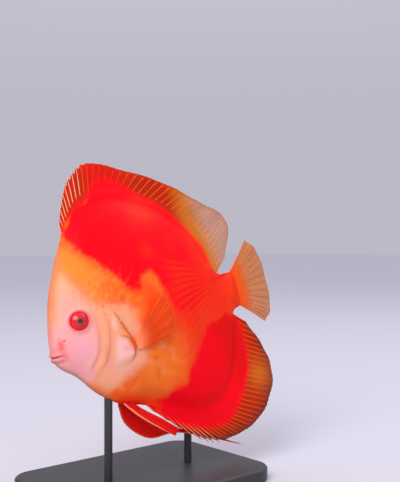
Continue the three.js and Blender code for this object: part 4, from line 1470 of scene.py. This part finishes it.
def add_camera():
    lens = bpy.data.cameras.new("camera")
    lens.sensor_fit = "VERTICAL"
    lens.sensor_height = SENSOR_HEIGHT
    lens.lens = FOCAL_PX / IMAGE_HEIGHT_PX * SENSOR_HEIGHT
    lens.clip_start = 0.01
    lens.clip_end = 50
    camera = link_object("camera", lens)
    camera.location = seen_from_camera(Vector(MOUTH_TIP), CAMERA_FROM_MOUTH) * MM
    camera.rotation_euler = (-CAMERA_BACK).to_track_quat("-Z", "Y").to_euler()
    bpy.context.scene.camera = camera


class DISCUS_OT_stage(bpy.types.Operator):
    """Sets the floor, the soft light and the camera."""

    bl_idname = "discus.stage"
    bl_label = "Floor, light and camera"

    def execute(self, context):
        settings = context.scene.discus_stage
        context.scene.view_settings.view_transform = "Standard"
        add_floor(settings)
        add_surround(settings)
        add_lamp("key_light", KEY_LAMP, settings.key_power, (1, 0.98, 0.96))
        add_lamp("back_light", BACK_LAMP, settings.back_power, (0.96, 0.98, 1))
        add_camera()
        return {"FINISHED"}


class DISCUS_PT_panel(bpy.types.Panel):
    """Lists the steps that build the model's looks."""

    bl_idname = "DISCUS_PT_panel"
    bl_label = "Discus fish"
    bl_space_type = "VIEW_3D"
    bl_region_type = "UI"
    bl_category = "Discus"

    def draw(self, context):
        for operator in OPERATORS:
            self.layout.operator(operator.bl_idname)
        for name in GROUPS:
            group = getattr(context.scene, name)
            box = self.layout.box()
            for key in type(group).__annotations__:
                box.prop(group, key)


OPERATORS = (
    DISCUS_OT_skin,
    DISCUS_OT_eyes,
    DISCUS_OT_dorsal_fin,
    DISCUS_OT_anal_fin,
    DISCUS_OT_caudal_fin,
    DISCUS_OT_pectoral_fins,
    DISCUS_OT_pelvic_fins,
    DISCUS_OT_stand,
    DISCUS_OT_stage,
)
GROUPS = {
    "discus_skin": SkinSettings,
    "discus_eyes": EyeSettings,
    "discus_fins": FinSettings,
    "discus_stage": StageSettings,
}
CLASSES = tuple(GROUPS.values()) + OPERATORS + (DISCUS_PT_panel,)


def register():
    for item in CLASSES:
        bpy.utils.register_class(item)
    for name, group in GROUPS.items():
        setattr(bpy.types.Scene, name, bpy.props.PointerProperty(type=group))


def unregister():
    for name in GROUPS:
        delattr(bpy.types.Scene, name)
    for item in reversed(CLASSES):
        bpy.utils.unregister_class(item)


def main():
    register()
    bpy.ops.discus.skin()
    bpy.ops.discus.eyes()
    bpy.ops.discus.dorsal_fin()
    bpy.ops.discus.anal_fin()
    bpy.ops.discus.caudal_fin()
    bpy.ops.discus.pectoral_fins()
    bpy.ops.discus.pelvic_fins()
    bpy.ops.discus.stand()
    bpy.ops.discus.stage()


if __name__ == "__main__":
    main()
